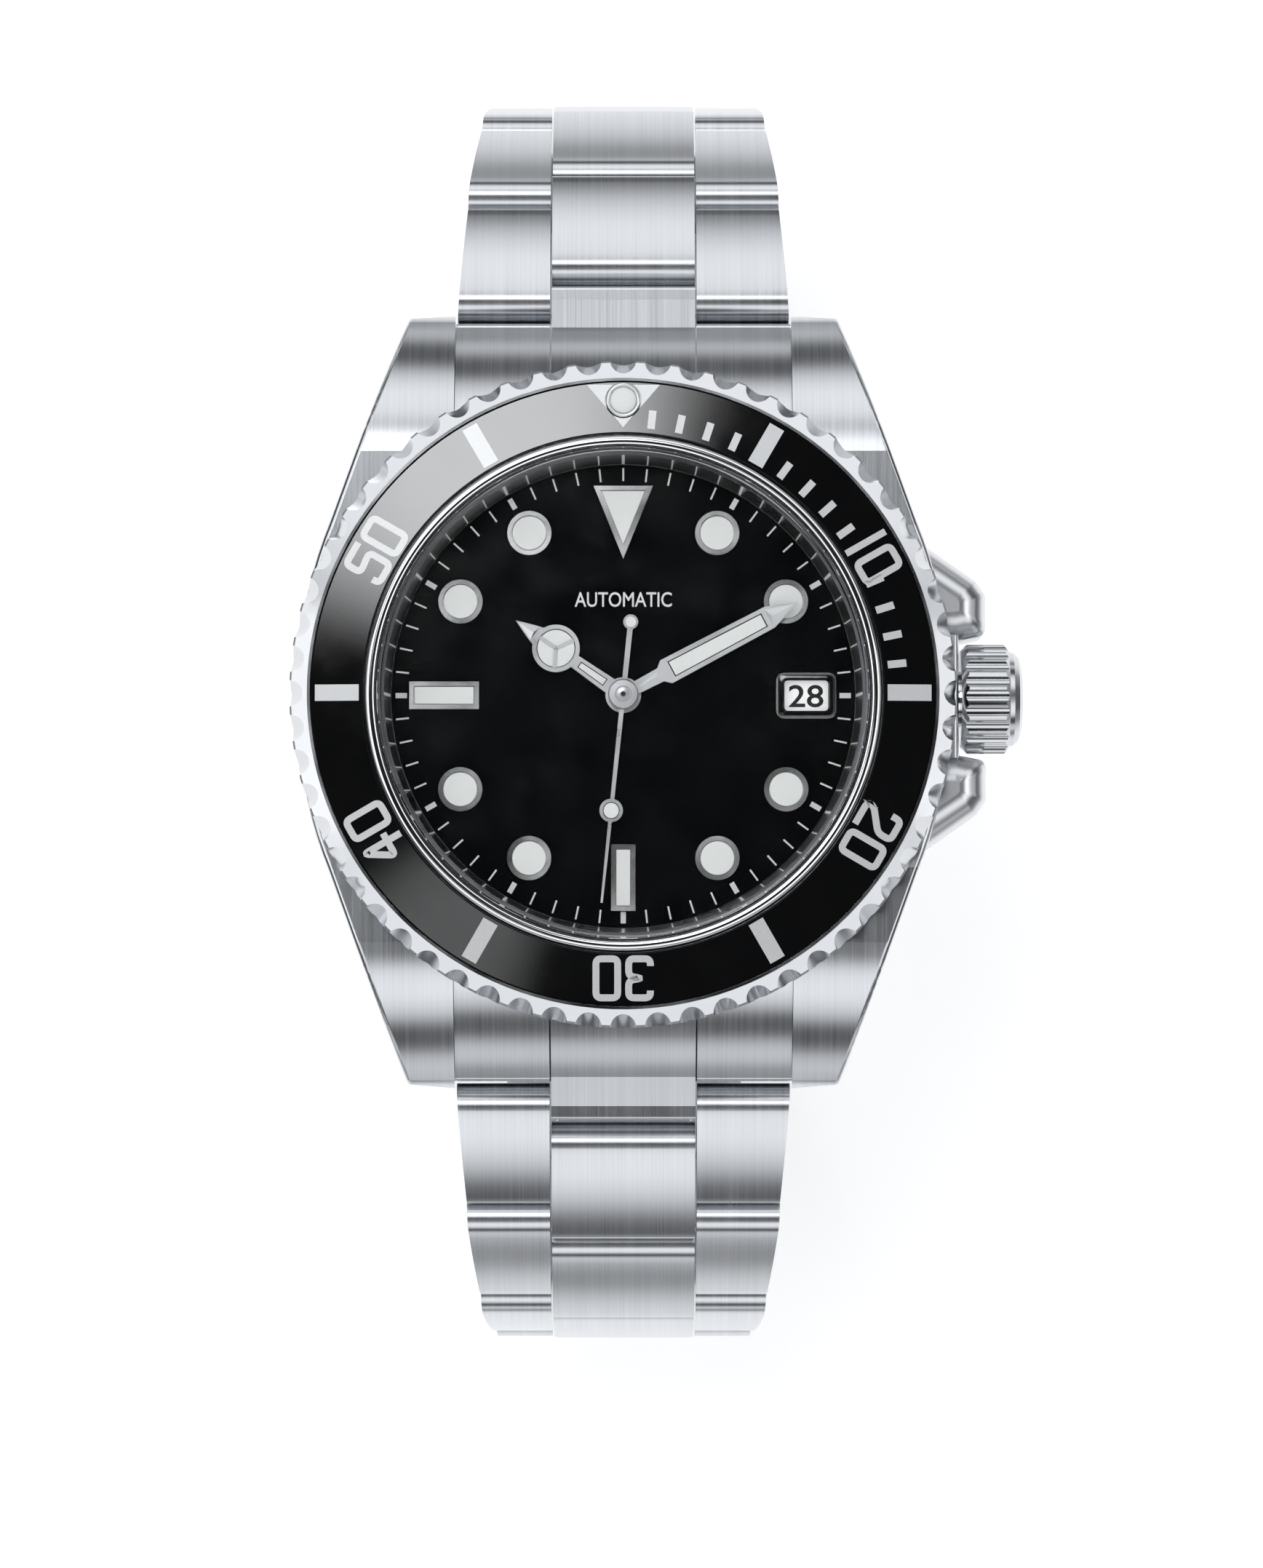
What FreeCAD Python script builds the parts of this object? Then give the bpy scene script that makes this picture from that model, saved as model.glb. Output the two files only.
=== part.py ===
"""Automatic dive wristwatch on a three-row steel bracelet with a folding clasp.

Frame, in millimetres: the origin is the centre of the case back's outer face, +Z points out of
the dial, +Y to 12 o'clock and +X to 3 o'clock, where the crown is. The bracelet is closed into a
loop below the case, with its hinges along X. Each section below makes the pieces of one group,
and save() writes one STEP file for each named piece.
"""
import FreeCAD
import Part
import math
import os

from FreeCAD import Vector

# ---- driving dimensions ----
BEZEL_RADIUS = 20.5
LUG_WIDTH = 21.0
LUG_TIP_Y = 24.2
CASE_BOTTOM = 1.4
CASE_TOP = 9.0
NECK_TOP = 12.15
CASE_BORE = 14.9
CROWN_AXIS_Z = 5.6
CROWN_RADIUS = 3.4
DIAL_BOTTOM = 8.3
DIAL_TOP = 8.7
CRYSTAL_BOTTOM = 10.95
CRYSTAL_TOP = 12.6

LINK_PITCH = 7.6
LINK_HALF_THICKNESS = 1.45
LINK_CENTRE_WIDTH = 9.0
LINK_CROWN = 8
LINK_TILTS = [22, 50, 78, 98, 118, 138, 158]
LINK_WIDTHS = [20.6, 19.4, 17.9, 16.4, 16.0, 16.0, 16.0, 16.0]
FIRST_HINGE = (25.3, 2.3)
PIN_RADIUS = 0.5

RUNNING = 0.05
FACE_GAP = 0.1

X_AXIS = Vector(1, 0, 0)
Y_AXIS = Vector(0, 1, 0)
Z_AXIS = Vector(0, 0, 1)
ORIGIN = Vector(0, 0, 0)

os.makedirs("parts", exist_ok=True)


# ---- helpers ----
def save(name, *solids):
    """Writes the solids as one named piece."""
    shape = solids[0] if len(solids) == 1 else Part.makeCompound(list(solids))
    shape.exportStep(f"parts/{name}.step")
    print(f"{name}: {len(shape.Solids)} solid(s), {shape.Volume:.2f} mm3, valid {shape.isValid()}")


def cylinder(radius, low, high, centre=(0, 0)):
    """An upright cylinder between two heights."""
    return Part.makeCylinder(radius, high - low, Vector(centre[0], centre[1], low), Z_AXIS)


def tube(outer, inner, low, high, centre=(0, 0)):
    return cylinder(outer, low, high, centre).cut(cylinder(inner, low - 1, high + 1, centre))


def rod_x(radius, start, end, y, z):
    """A cylinder along X."""
    return Part.makeCylinder(radius, end - start, Vector(start, y, z), X_AXIS)


def block(low, high):
    size = [b - a for a, b in zip(low, high)]
    return Part.makeBox(*size, Vector(*low))


def polygon_face(points):
    """A flat face through 3-D points."""
    corners = [Vector(*p) for p in points]
    return Part.Face(Part.makePolygon(corners + corners[:1]))


def prism_z(points, low, high):
    """A plan outline of (x, y) points, raised from low to high."""
    return polygon_face([(x, y, low) for x, y in points]).extrude(Vector(0, 0, high - low))


def revolved(points):
    """A section of (radius, z) points, turned a full circle about Z."""
    return polygon_face([(r, 0, z) for r, z in points]).revolve(ORIGIN, Z_AXIS, 360)


def around(shape, count, axis=Z_AXIS, centre=ORIGIN):
    """Copies of a shape, evenly spaced in a circle."""
    copies = []
    for i in range(count):
        copy = shape.copy()
        copy.rotate(centre, axis, 360 * i / count)
        copies.append(copy)
    return copies


def rotated(shape, degrees, centre=ORIGIN, axis=Z_AXIS):
    copy = shape.copy()
    copy.rotate(centre, axis, degrees)
    return copy


def polar(radius, degrees):
    angle = math.radians(degrees)
    return radius * math.cos(angle), radius * math.sin(angle)


def fused(first, *others):
    return first.multiFuse(list(others)).removeSplitter()


def rounded(shape, radius, chosen):
    """Rounds the edges that chosen() picks, and leaves the shape as it is if there are none."""
    edges = [e for e in shape.Edges if chosen(e)]
    return shape.makeFillet(radius, edges) if edges else shape


def gear(teeth, pitch_radius, low, high, bore, centre=(0, 0), turn=0.0):
    """A flat toothed wheel. A tooth's middle is at the angle turn, in degrees."""
    module = 2 * pitch_radius / teeth
    outer = pitch_radius + 0.75 * module
    root = pitch_radius - 1.05 * module
    step = 360 / teeth
    points = []
    for i in range(teeth):
        middle = turn + i * step
        for radius, share in ((root, -0.30), (outer, -0.12), (outer, 0.12), (root, 0.30)):
            x, y = polar(radius, middle + share * step)
            points.append((centre[0] + x, centre[1] + y))
    wheel = prism_z(points, low, high)
    return wheel.cut(cylinder(bore, low - 1, high + 1, centre)) if bore else wheel


def spoked(wheel, rim, hub, spokes, low, high, centre=(0, 0), width=0.45):
    """Cuts a wheel's web away between its hub and rim, and leaves the spokes."""
    web = tube(rim, hub, low - 1, high + 1, centre)
    x, y = centre
    arm = block((x, y - width / 2, low - 2), (x + rim + 1, y + width / 2, high + 2))
    return wheel.cut(web.cut(fused(*around(arm, spokes, Z_AXIS, Vector(x, y, 0)))))


# ---- case ----
FLANK = [(13.45, LUG_TIP_Y - 0.25), (18.2, 10.8), (19.75, 5.4), (20.1, 0.0)]
GUARD = [(17.4, 10.4), (21.9, 7.25), (22.5, 6.4), (22.5, 3.9), (20.7, 3.55)]
GUARD_TOP_ROUNDING = 1.7
CROWN_SEAT_X = 20.75
LUG_HOLE = (21.4, 2.4)
LUG_HOLE_RADIUS = 0.55
LUG_HOLE_DEPTH = 1.4
BETWEEN_LUGS_RADIUS = 18.85


def case_outline():
    """The case seen from above without its crown guards: lug tips, and a long gentle flank."""
    tip, shoulder, waist, side = FLANK
    inner = (LUG_WIDTH / 2, LUG_TIP_Y)

    def place(point, sx, sy):
        return Vector(sx * point[0], sy * point[1], 0)

    edges = []
    for sx in (1, -1):
        for sy in (1, -1):
            edges.append(Part.LineSegment(place(inner, sx, sy), place(tip, sx, sy)).toShape())
            edges.append(Part.LineSegment(place(tip, sx, sy), place(shoulder, sx, sy)).toShape())
            arc = Part.Arc(place(shoulder, sx, sy), place(waist, sx, sy), place(side, sx, sy))
            edges.append(arc.toShape())
    for sy in (1, -1):
        edges.append(Part.LineSegment(place(inner, 1, sy), place(inner, -1, sy)).toShape())
    return Part.Face(Part.Wire(Part.__sortEdges__(edges)))


def case_side_profile():
    """The case seen from 3 o'clock: the top falls in an arc to rounded lug tips."""
    top_shoulder = 15.2
    low_shoulder = 15.5
    tip_top = 4.7
    tip_low = 0.3

    def at(y, z):
        return Vector(0, y, z)

    edges = [
        Part.LineSegment(at(-top_shoulder, CASE_TOP), at(top_shoulder, CASE_TOP)).toShape(),
        Part.LineSegment(at(-low_shoulder, CASE_BOTTOM), at(low_shoulder, CASE_BOTTOM)).toShape(),
    ]
    for s in (1, -1):
        top = Part.Arc(at(s * top_shoulder, CASE_TOP), at(s * 20.2, 7.55), at(s * 23.7, tip_top + 0.35))
        tip = Part.Arc(at(s * 23.7, tip_top + 0.35), at(s * 24.08, tip_top - 0.25),
                       at(s * LUG_TIP_Y, tip_top - 1.1))
        low = Part.Arc(at(s * LUG_TIP_Y, tip_low), at(s * 20.0, 0.62), at(s * low_shoulder, CASE_BOTTOM))
        end = Part.LineSegment(at(s * LUG_TIP_Y, tip_top - 1.1), at(s * LUG_TIP_Y, tip_low))
        edges += [top.toShape(), tip.toShape(), low.toShape(), end.toShape()]
    return Part.Face(Part.Wire(Part.__sortEdges__(edges)))


def crown_guards():
    """The two shoulders that stand out on each side of the crown."""
    low, high = 2.2, 8.5
    guards = []
    for side in (1, -1):
        outline = [(x, side * y) for x, y in GUARD] + [(15.5, side * 3.55), (15.5, side * 10.4)]
        guard = prism_z(outline, low, high)
        guard = rounded(guard, 0.55, lambda e: outer_upright(e, low, high))
        guard = rounded(guard, GUARD_TOP_ROUNDING, lambda e: on_level(e, high) and e.BoundBox.XMax > 18)
        guard = rounded(guard, 0.6, lambda e: on_level(e, low) and e.BoundBox.XMax > 18)
        guards.append(guard)
    return guards


def crown_seat():
    """The flat wall between the guards that the crown screws down against."""
    seat = block((15.5, -3.8, 2.2), (CROWN_SEAT_X, 3.8, 8.5))
    return rounded(seat, 0.3, lambda e: on_level(e, 8.5) and e.BoundBox.XMin > 18)


def outer_upright(edge, low, high):
    box = edge.BoundBox
    return box.ZLength > high - low - 0.01 and box.XMin > 20.0 and box.XLength < 0.01


def on_level(edge, z):
    box = edge.BoundBox
    return abs(box.ZMin - z) < 0.01 and abs(box.ZMax - z) < 0.01


def case_middle():
    """The case with its lugs and guards, and the crown's seat as a solid of its own."""
    plan = case_outline().extrude(Vector(0, 0, 20))
    plan.translate(Vector(0, 0, -5))
    side = case_side_profile().extrude(Vector(60, 0, 0))
    side.translate(Vector(-30, 0, 0))
    body = plan.common(side)
    body = rounded(body, 0.35, is_top_flank)
    body = fused(body, *crown_guards())
    neck = revolved([(0, 8.0), (16.3, 8.0), (16.3, 10.4), (15.8, 10.4), (15.8, NECK_TOP - 0.15),
                     (15.65, NECK_TOP), (0, NECK_TOP)])
    body = fused(body, neck)
    for side_sign in (1, -1):
        gap = block((-LUG_WIDTH / 2, 0, -6), (LUG_WIDTH / 2, 30, 20))
        gap = rotated(gap, 0 if side_sign > 0 else 180)
        body = body.cut(gap.cut(cylinder(BETWEEN_LUGS_RADIUS, -7, 21)))
    bores = [
        cylinder(CASE_BORE, 3.2, 11.5),
        cylinder(15.35, CRYSTAL_BOTTOM, 14),
        cylinder(15.6, 1.0, 3.2),
        cylinder(17.25, 1.0, 1.95),
        rod_x(1.45, 14, 24, 0, CROWN_AXIS_Z),
        rod_x(CROWN_RADIUS + 0.25, CROWN_SEAT_X, 26, 0, CROWN_AXIS_Z),
    ]
    bores.append(revolved([(16.05, 9.35), (16.5, 9.35), (16.5, 9.95), (16.05, 9.95)]))
    for sx in (1, -1):
        start = min(sx * LUG_WIDTH / 2 - sx * 0.5, sx * (LUG_WIDTH / 2 + LUG_HOLE_DEPTH))
        for sy in (1, -1):
            end = start + LUG_HOLE_DEPTH + 0.5
            bores.append(rod_x(LUG_HOLE_RADIUS, start, end, sy * LUG_HOLE[0], LUG_HOLE[1]))
    body = body.cut(Part.makeCompound(bores))
    seat = crown_seat().cut(rod_x(1.45, 14, 24, 0, CROWN_AXIS_Z)).cut(cylinder(18.0, 0, 10))
    return body, seat.cut(body)


def is_top_flank(edge):
    """The long top edges where the case's brushed top meets its polished sides."""
    box = edge.BoundBox
    middle = edge.CenterOfMass
    return abs(middle.x) > 13.6 and middle.z > 5.0 and box.YLength > 2.0


def case_back():
    """Screw-in back with twelve wrench notches in its rim."""
    back = revolved([(0, 0), (14.2, 0), (16.6, 0.7), (17.15, 1.2), (17.15, 1.9), (15.5, 1.9), (15.5, 3.1),
                     (14.3, 3.1), (14.3, 1.6), (0, 1.6)])
    notch = cylinder(0.9, -1, 1.15, (17.15, 0))
    return back.cut(Part.makeCompound(around(notch, 12)))


save("case_middle", *case_middle())
save("case_back", case_back())
save("case_gaskets", tube(15.45, 15.05, 3.12, 3.2), tube(15.33, 15.12, 10.97, 11.95))


def crystal():
    return revolved([(0, CRYSTAL_BOTTOM + 0.01), (15.1, CRYSTAL_BOTTOM + 0.01), (15.1, 12.25),
                     (14.75, CRYSTAL_TOP), (0, CRYSTAL_TOP)])


save("crystal", crystal())
save("rehaut_ring", revolved([(14.35, DIAL_TOP + 0.02), (14.87, DIAL_TOP + 0.02),
                              (14.87, CRYSTAL_BOTTOM - 0.02), (14.68, CRYSTAL_BOTTOM - 0.02)]))

# ---- bezel ----
FLUTES = 60
INSERT_INNER = 15.95
INSERT_OUTER = 19.2
INSERT_TOP_INNER = 12.1
INSERT_TOP_OUTER = 11.75
PEARL_RADIUS = 18.0


def bezel_ring():
    section = [(16.38, 9.12), (20.05, 9.12), (BEZEL_RADIUS, 9.55), (BEZEL_RADIUS, 11.3), (20.38, 11.43),
               (19.4, 11.8), (INSERT_OUTER + 0.03, 11.8), (INSERT_OUTER + 0.03, 11.05),
               (INSERT_INNER - 0.03, 11.35), (INSERT_INNER - 0.03, 10.5), (16.38, 10.5)]
    ring = revolved(section)
    ring = ring.cut(revolved([(16.3, 9.38), (16.75, 9.38), (16.75, 9.92), (16.3, 9.92)]))
    flute_radius = 0.85
    flute_tilt = 19
    flute = Part.makeCylinder(flute_radius, 5, Vector(20.65, 0, 12.3), Vector(0, 0, -1))
    flute = rotated(flute, -flute_tilt, Vector(20.65, 0, 11.5), Y_AXIS)
    return ring.cut(Part.makeCompound(around(flute, FLUTES)))


def bezel_insert():
    """Ring-shaped scale plate with a round seat for the luminous pearl at 12 o'clock."""
    plate = revolved([(INSERT_INNER, 11.37), (INSERT_OUTER, 11.08), (INSERT_OUTER, INSERT_TOP_OUTER - 0.08),
                      (INSERT_OUTER - 0.08, INSERT_TOP_OUTER), (INSERT_INNER + 0.08, INSERT_TOP_INNER),
                      (INSERT_INNER, INSERT_TOP_INNER - 0.08)])
    return plate.cut(cylinder(1.1, 10, 13, (0, PEARL_RADIUS)))


def bezel_pearl():
    """A metal cup with a domed luminous bead."""
    cup = revolved([(0, 11.3), (1.07, 11.3), (1.07, 12.05), (0.95, 12.13), (0.82, 12.05), (0.82, 11.75),
                    (0, 11.75)])
    bead = revolved([(0, 11.76), (0.8, 11.76), (0.8, 12.0), (0.62, 12.17), (0.35, 12.27), (0, 12.3)])
    place = Vector(0, PEARL_RADIUS, 0)
    cup.translate(place)
    bead.translate(place)
    return cup, bead


def bezel_spring():
    """A three-cornered wire that snaps the bezel onto the neck and clicks under it."""
    ring = tube(16.6, 16.15, 9.45, 9.85)
    opening = block((12, -1.2, 9), (18, 1.2, 11))
    return ring.cut(opening)


save("bezel_ring", bezel_ring())
save("bezel_insert", bezel_insert())
save("bezel_pearl", *bezel_pearl())
save("bezel_spring", bezel_spring())

# ---- crown, rolled out along +X ----
CROWN_INNER_X = 20.95
CROWN_FLUTES = 22
CROWN_CENTRE = Vector(0, 0, CROWN_AXIS_Z)


def turned_x(points):
    """A section of (x, radius) points, turned about the crown's axis."""
    face = polygon_face([(x, 0, CROWN_AXIS_Z + r) for x, r in points])
    return face.revolve(CROWN_CENTRE, X_AXIS, 360)


def crown():
    edge = CROWN_INNER_X
    body = turned_x([(edge, 1.75), (edge, 3.0), (edge + 0.45, CROWN_RADIUS), (edge + 2.75, CROWN_RADIUS),
                     (edge + 3.0, 3.15), (edge + 3.0, 2.95), (edge + 3.3, 2.9), (edge + 3.62, 2.62),
                     (edge + 3.82, 2.0), (edge + 3.9, 0), (edge + 2.9, 0), (edge + 2.9, 1.75)])
    groove = Part.makeCylinder(0.6, 3.4, Vector(edge - 0.2, 0, CROWN_AXIS_Z + CROWN_RADIUS + 0.42), X_AXIS)
    return body.cut(Part.makeCompound(around(groove, CROWN_FLUTES, X_AXIS, CROWN_CENTRE)))


def crown_tube():
    """Tube in the case wall, with a shoulder just clear of the crown's seat."""
    shoulder = CROWN_SEAT_X + 0.02
    return turned_x([(14.95, 0.75), (14.95, 1.43), (shoulder, 1.43), (shoulder, 1.68), (22.7, 1.68),
                     (22.7, 0.75)])


def winding_stem():
    """Stem with a square end for the clutch, running into the crown's core."""
    shaft = turned_x([(8.2, 0), (8.2, 0.3), (14.6, 0.3), (14.6, 0.6), (CROWN_INNER_X + 2.85, 0.6),
                      (CROWN_INNER_X + 2.85, 0)])
    square = block((8.5, -0.3, CROWN_AXIS_Z - 0.3), (12.6, 0.3, CROWN_AXIS_Z + 0.3))
    return fused(shaft, square)


def sliding_clutch():
    """Clutch wheel on the stem's square: its face teeth mesh for winding or for setting."""
    return turned_x([(8.9, 0.44), (8.9, 1.05), (9.5, 1.05), (9.5, 0.8), (10.0, 0.8), (10.0, 1.05),
                     (10.6, 1.05), (10.6, 0.44)])


save("crown", crown())
save("crown_tube", crown_tube())
save("crown_gasket", turned_x([(CROWN_INNER_X + 2.45, 0.95), (CROWN_INNER_X + 2.45, 1.7),
                               (CROWN_INNER_X + 2.85, 1.7), (CROWN_INNER_X + 2.85, 0.95)]))
save("winding_stem", winding_stem(), sliding_clutch())

# ---- dial and hands ----
INDEX_TOP = 9.05
INDEX_RIM = 0.27
HOUR_MARKER_RADIUS = 11.6
HOUR_HAND_ANGLE = 304.8
MINUTE_HAND_ANGLE = 62.1
SECONDS_HAND_ANGLE = 185.9


def dial():
    """Dial plate with a bevelled date window at 3 o'clock."""
    plate = cylinder(14.3, DIAL_BOTTOM, DIAL_TOP).cut(cylinder(1.0, 8, 9))
    window = block((9.93, -0.96, 8), (12.67, 0.96, 9))
    bevel = block((9.7, -1.25, 8.5), (12.9, 1.25, 9))
    return plate.cut(window).cut(bevel)


def applied_indices():
    """Raised rims around sunk floors for luminous paint."""
    floor = DIAL_TOP + 0.08
    pieces = []
    for hour in (1, 2, 4, 5, 7, 8, 10, 11):
        centre = polar(HOUR_MARKER_RADIUS, 90 - 30 * hour)
        disc = cylinder(1.365, DIAL_TOP, INDEX_TOP, centre)
        pieces.append(disc.cut(cylinder(1.365 - INDEX_RIM, floor, 10, centre)))
    for angle, start, end, width in ((180, 9.2, 13.3, 1.5), (90, 8.9, 13.2, 1.7)):
        half = width / 2
        bar = block((-half, start, DIAL_TOP), (half, end, INDEX_TOP))
        sunk = block((INDEX_RIM - half, start + INDEX_RIM, floor), (half - INDEX_RIM, end - INDEX_RIM, 10))
        pieces.append(rotated(bar.cut(sunk), angle))
    triangle = prism_z([(-1.83, 12.97), (1.83, 12.97), (0, 8.45)], DIAL_TOP, INDEX_TOP)
    sunk = prism_z([(-1.42, 12.7), (1.42, 12.7), (0, 9.19)], floor, 10)
    pieces.append(triangle.cut(sunk))
    return pieces


HAND_LEVELS = {"hour": (9.12, 9.32), "minute": (9.55, 9.75), "seconds": (9.98, 10.12)}


def hour_hand():
    """Round-headed hand: a ring with three spokes, then a pointed tip, on the hour wheel's pipe."""
    low, high = HAND_LEVELS["hour"]
    head = (0, 5.05)
    stem = prism_z([(-0.5, 0.9), (0.5, 0.9), (0.42, 3.9), (-0.42, 3.9)], low, high)
    tip = prism_z([(-0.62, 6.3), (0.62, 6.3), (0.42, 7.0), (0, 8.07), (-0.42, 7.0)], low, high)
    ring = tube(1.47, 1.2, low, high, head)
    spoke = block((-0.13, 5.05, low), (0.13, 6.35, high))
    spokes = around(spoke, 3, Z_AXIS, Vector(0, 5.05, 0))
    hub = cylinder(1.1, low, high)
    hand = fused(hub, stem, tip, ring, *spokes).cut(cylinder(HOUR_PIPE_RADIUS, 9, 10))
    return rotated(hand, -HOUR_HAND_ANGLE)


def minute_hand():
    """Long pointed hand with a slot for luminous paint."""
    low, high = HAND_LEVELS["minute"]
    blade = prism_z([(-0.4, 0.7), (0.4, 0.7), (0.45, 2.6), (0.8, 3.0), (0.72, 10.2), (0, 12.2),
                     (-0.72, 10.2), (-0.8, 3.0), (-0.45, 2.6)], low, high)
    slot = prism_z([(-0.55, 3.3), (0.55, 3.3), (0.48, 10.05), (0, 11.3), (-0.48, 10.05)], low - 1, high + 1)
    hand = fused(cylinder(0.95, low, high), blade).cut(slot).cut(cylinder(CANNON_RADIUS, 9, 10))
    return rotated(hand, -MINUTE_HAND_ANGLE)


def seconds_hand():
    """Thin hand with a luminous ring, and a disc on its counterweight."""
    low, high = HAND_LEVELS["seconds"]
    needle = prism_z([(-0.17, -4.5), (0.17, -4.5), (0.12, 6.6), (0.07, 12.9), (-0.07, 12.9), (-0.12, 6.6)],
                     low, high)
    ring = cylinder(0.72, low, high, (0, 7.2))
    disc = cylinder(0.46, low, high, (0, -4.48))
    cap = cylinder(0.77, low, high + 0.12)
    hand = fused(needle, ring, disc, cap)
    hand = hand.cut(cylinder(0.52, low - 1, high + 1, (0, 7.2))).cut(cylinder(SECONDS_ARBOR_RADIUS, 9, high))
    return rotated(hand, -SECONDS_HAND_ANGLE)


SECONDS_ARBOR_RADIUS = 0.14
CENTRE_ARBOR_RADIUS = 0.36
CENTRE_ARBOR_BORE = 0.2
CANNON_RADIUS = 0.5
HOUR_PIPE_BORE = 0.56
HOUR_PIPE_RADIUS = 0.85

save("dial", dial())
save("applied_indices", *applied_indices())
save("hour_hand", hour_hand())
save("minute_hand", minute_hand())
save("seconds_hand", seconds_hand())

# ---- movement: going train ----
# teeth: barrel 72 to centre pinion 12, centre wheel 80 to third pinion 10, third wheel 75 to
# fourth pinion 10, fourth wheel 84 to escape pinion 7
BARREL_MODULE = 0.14
THIRD_DISTANCE = 4.5
ESCAPE_DISTANCE = 3.87
BARREL_ANGLE = 100
THIRD_ANGLE = 235
ESCAPE_ANGLE = 345
BARREL_AXIS = polar((72 + 12) * BARREL_MODULE / 2, BARREL_ANGLE)
THIRD_AXIS = polar(THIRD_DISTANCE, THIRD_ANGLE)
ESCAPE_AXIS = polar(ESCAPE_DISTANCE, ESCAPE_ANGLE)
BALANCE_AXIS = polar(8.3, 312)
PALLET_SHARE = 0.4565
PALLET_AXIS = tuple(e + PALLET_SHARE * (b - e) for e, b in zip(ESCAPE_AXIS, BALANCE_AXIS))
PIVOT = 0.11
BRIDGE_LOW = 2.4
BRIDGE_HIGH = 2.95
PLATE_LOW = 4.95
PLATE_HIGH = 7.3


def staff(axis, *steps):
    """A turned arbor, from steps of (radius, low, high)."""
    return fused(*[cylinder(radius, low, high, axis) for radius, low, high in steps])


def meshed_pair(teeth, other_teeth, distance, toward):
    """Pitch radii and turns of a wheel and the gear that stands at the angle toward from it."""
    radius = distance * teeth / (teeth + other_teeth)
    return radius, distance - radius, toward, toward + 180 + 180 / other_teeth


def spiral(turns, first, last, low, high, thickness, centre):
    """A flat coil spring from half circles whose radius grows a little at a time."""
    step = (last - first) / (2 * turns)
    edges = {1: [], -1: []}
    for side in (1, -1):
        offset = side * thickness / 2
        for i in range(2 * turns):
            radius = first + step * i + step / 2 + offset
            middle = centre[0] + (step if i % 2 else 0)
            sign = -1 if i % 2 else 1
            start = Vector(middle + sign * radius, centre[1], low)
            top = Vector(middle, centre[1] + sign * radius, low)
            end = Vector(middle - sign * radius, centre[1], low)
            edges[side].append(Part.Arc(start, top, end).toShape())
    caps = []
    for index in (0, -1):
        inner = edges[-1][index].Vertexes[index].Point
        outer = edges[1][index].Vertexes[index].Point
        caps.append(Part.LineSegment(inner, outer).toShape())
    wire = Part.Wire(Part.__sortEdges__(edges[1] + edges[-1] + caps))
    return Part.Face(wire).extrude(Vector(0, 0, high - low))


def mainspring_barrel():
    """Toothed drum with a lid, and the room for its spring."""
    radius, _, turn, _ = meshed_pair(72, 12, 42 * BARREL_MODULE, BARREL_ANGLE + 180)
    teeth = gear(72, radius, 4.1, 4.4, 0, BARREL_AXIS, turn)
    drum = fused(cylinder(4.6, 3.5, 4.8, BARREL_AXIS), teeth)
    return drum.cut(cylinder(4.3, 3.65, 4.65, BARREL_AXIS)).cut(cylinder(0.55, 3, 5, BARREL_AXIS))


def centre_wheel():
    """Minute-turning wheel and pinion on a hollow arbor."""
    _, pinion_radius, _, turn = meshed_pair(72, 12, 42 * BARREL_MODULE, BARREL_ANGLE + 180)
    wheel_radius, _, wheel_turn, _ = meshed_pair(80, 10, THIRD_DISTANCE, THIRD_ANGLE)
    wheel = spoked(gear(80, wheel_radius, 5.1, 5.35, 0, (0, 0), wheel_turn), 3.4, 0.9, 4, 5.1, 5.35)
    pinion = gear(12, pinion_radius, 3.8, 4.8, 0, (0, 0), turn)
    body = fused(wheel, pinion, cylinder(CENTRE_ARBOR_RADIUS, 3.75, 9.75))
    return body.cut(cylinder(CENTRE_ARBOR_BORE, 3, 11))


def third_wheel():
    _, pinion_radius, _, pinion_turn = meshed_pair(80, 10, THIRD_DISTANCE, THIRD_ANGLE)
    radius, _, turn, _ = meshed_pair(75, 10, THIRD_DISTANCE, THIRD_ANGLE + 180)
    wheel = spoked(gear(75, radius, 3.42, 3.62, 0, THIRD_AXIS, turn), 3.35, 0.8, 4, 3.42, 3.62, THIRD_AXIS)
    pinion = gear(10, pinion_radius, 4.98, 5.45, 0, THIRD_AXIS, pinion_turn)
    return fused(wheel, pinion, staff(THIRD_AXIS, (0.25, 3.1, 5.0), (PIVOT, 2.5, 6.0)))


def fourth_wheel():
    """Seconds-turning wheel. Its long arbor runs up through the hollow centre arbor."""
    _, pinion_radius, _, pinion_turn = meshed_pair(75, 10, THIRD_DISTANCE, THIRD_ANGLE + 180)
    radius, _, turn, _ = meshed_pair(84, 7, ESCAPE_DISTANCE, ESCAPE_ANGLE)
    wheel = spoked(gear(84, radius, 3.05, 3.25, 0, (0, 0), turn), 3.0, 0.7, 4, 3.05, 3.25)
    pinion = gear(10, pinion_radius, 3.25, 3.7, 0, (0, 0), pinion_turn)
    return fused(wheel, pinion, staff((0, 0), (SECONDS_ARBOR_RADIUS, 3.0, 10.12), (PIVOT, 2.5, 3.0)))


def escape_wheel():
    """Twenty club teeth, leaning one way."""
    _, pinion_radius, _, pinion_turn = meshed_pair(84, 7, ESCAPE_DISTANCE, ESCAPE_ANGLE)
    points = []
    for i in range(20):
        for radius, lead in ((1.5, 0), (1.9, 7), (1.86, 9.5), (1.5, 8)):
            x, y = polar(radius, 18 * i + lead)
            points.append((ESCAPE_AXIS[0] + x, ESCAPE_AXIS[1] + y))
    wheel = spoked(prism_z(points, 4.0, 4.2), 1.25, 0.45, 4, 4.0, 4.2, ESCAPE_AXIS, 0.25)
    pinion = gear(7, pinion_radius, 3.0, 3.35, 0, ESCAPE_AXIS, pinion_turn)
    return fused(wheel, pinion, staff(ESCAPE_AXIS, (0.2, 3.35, 4.4), (PIVOT, 2.5, 5.6)))


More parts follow.
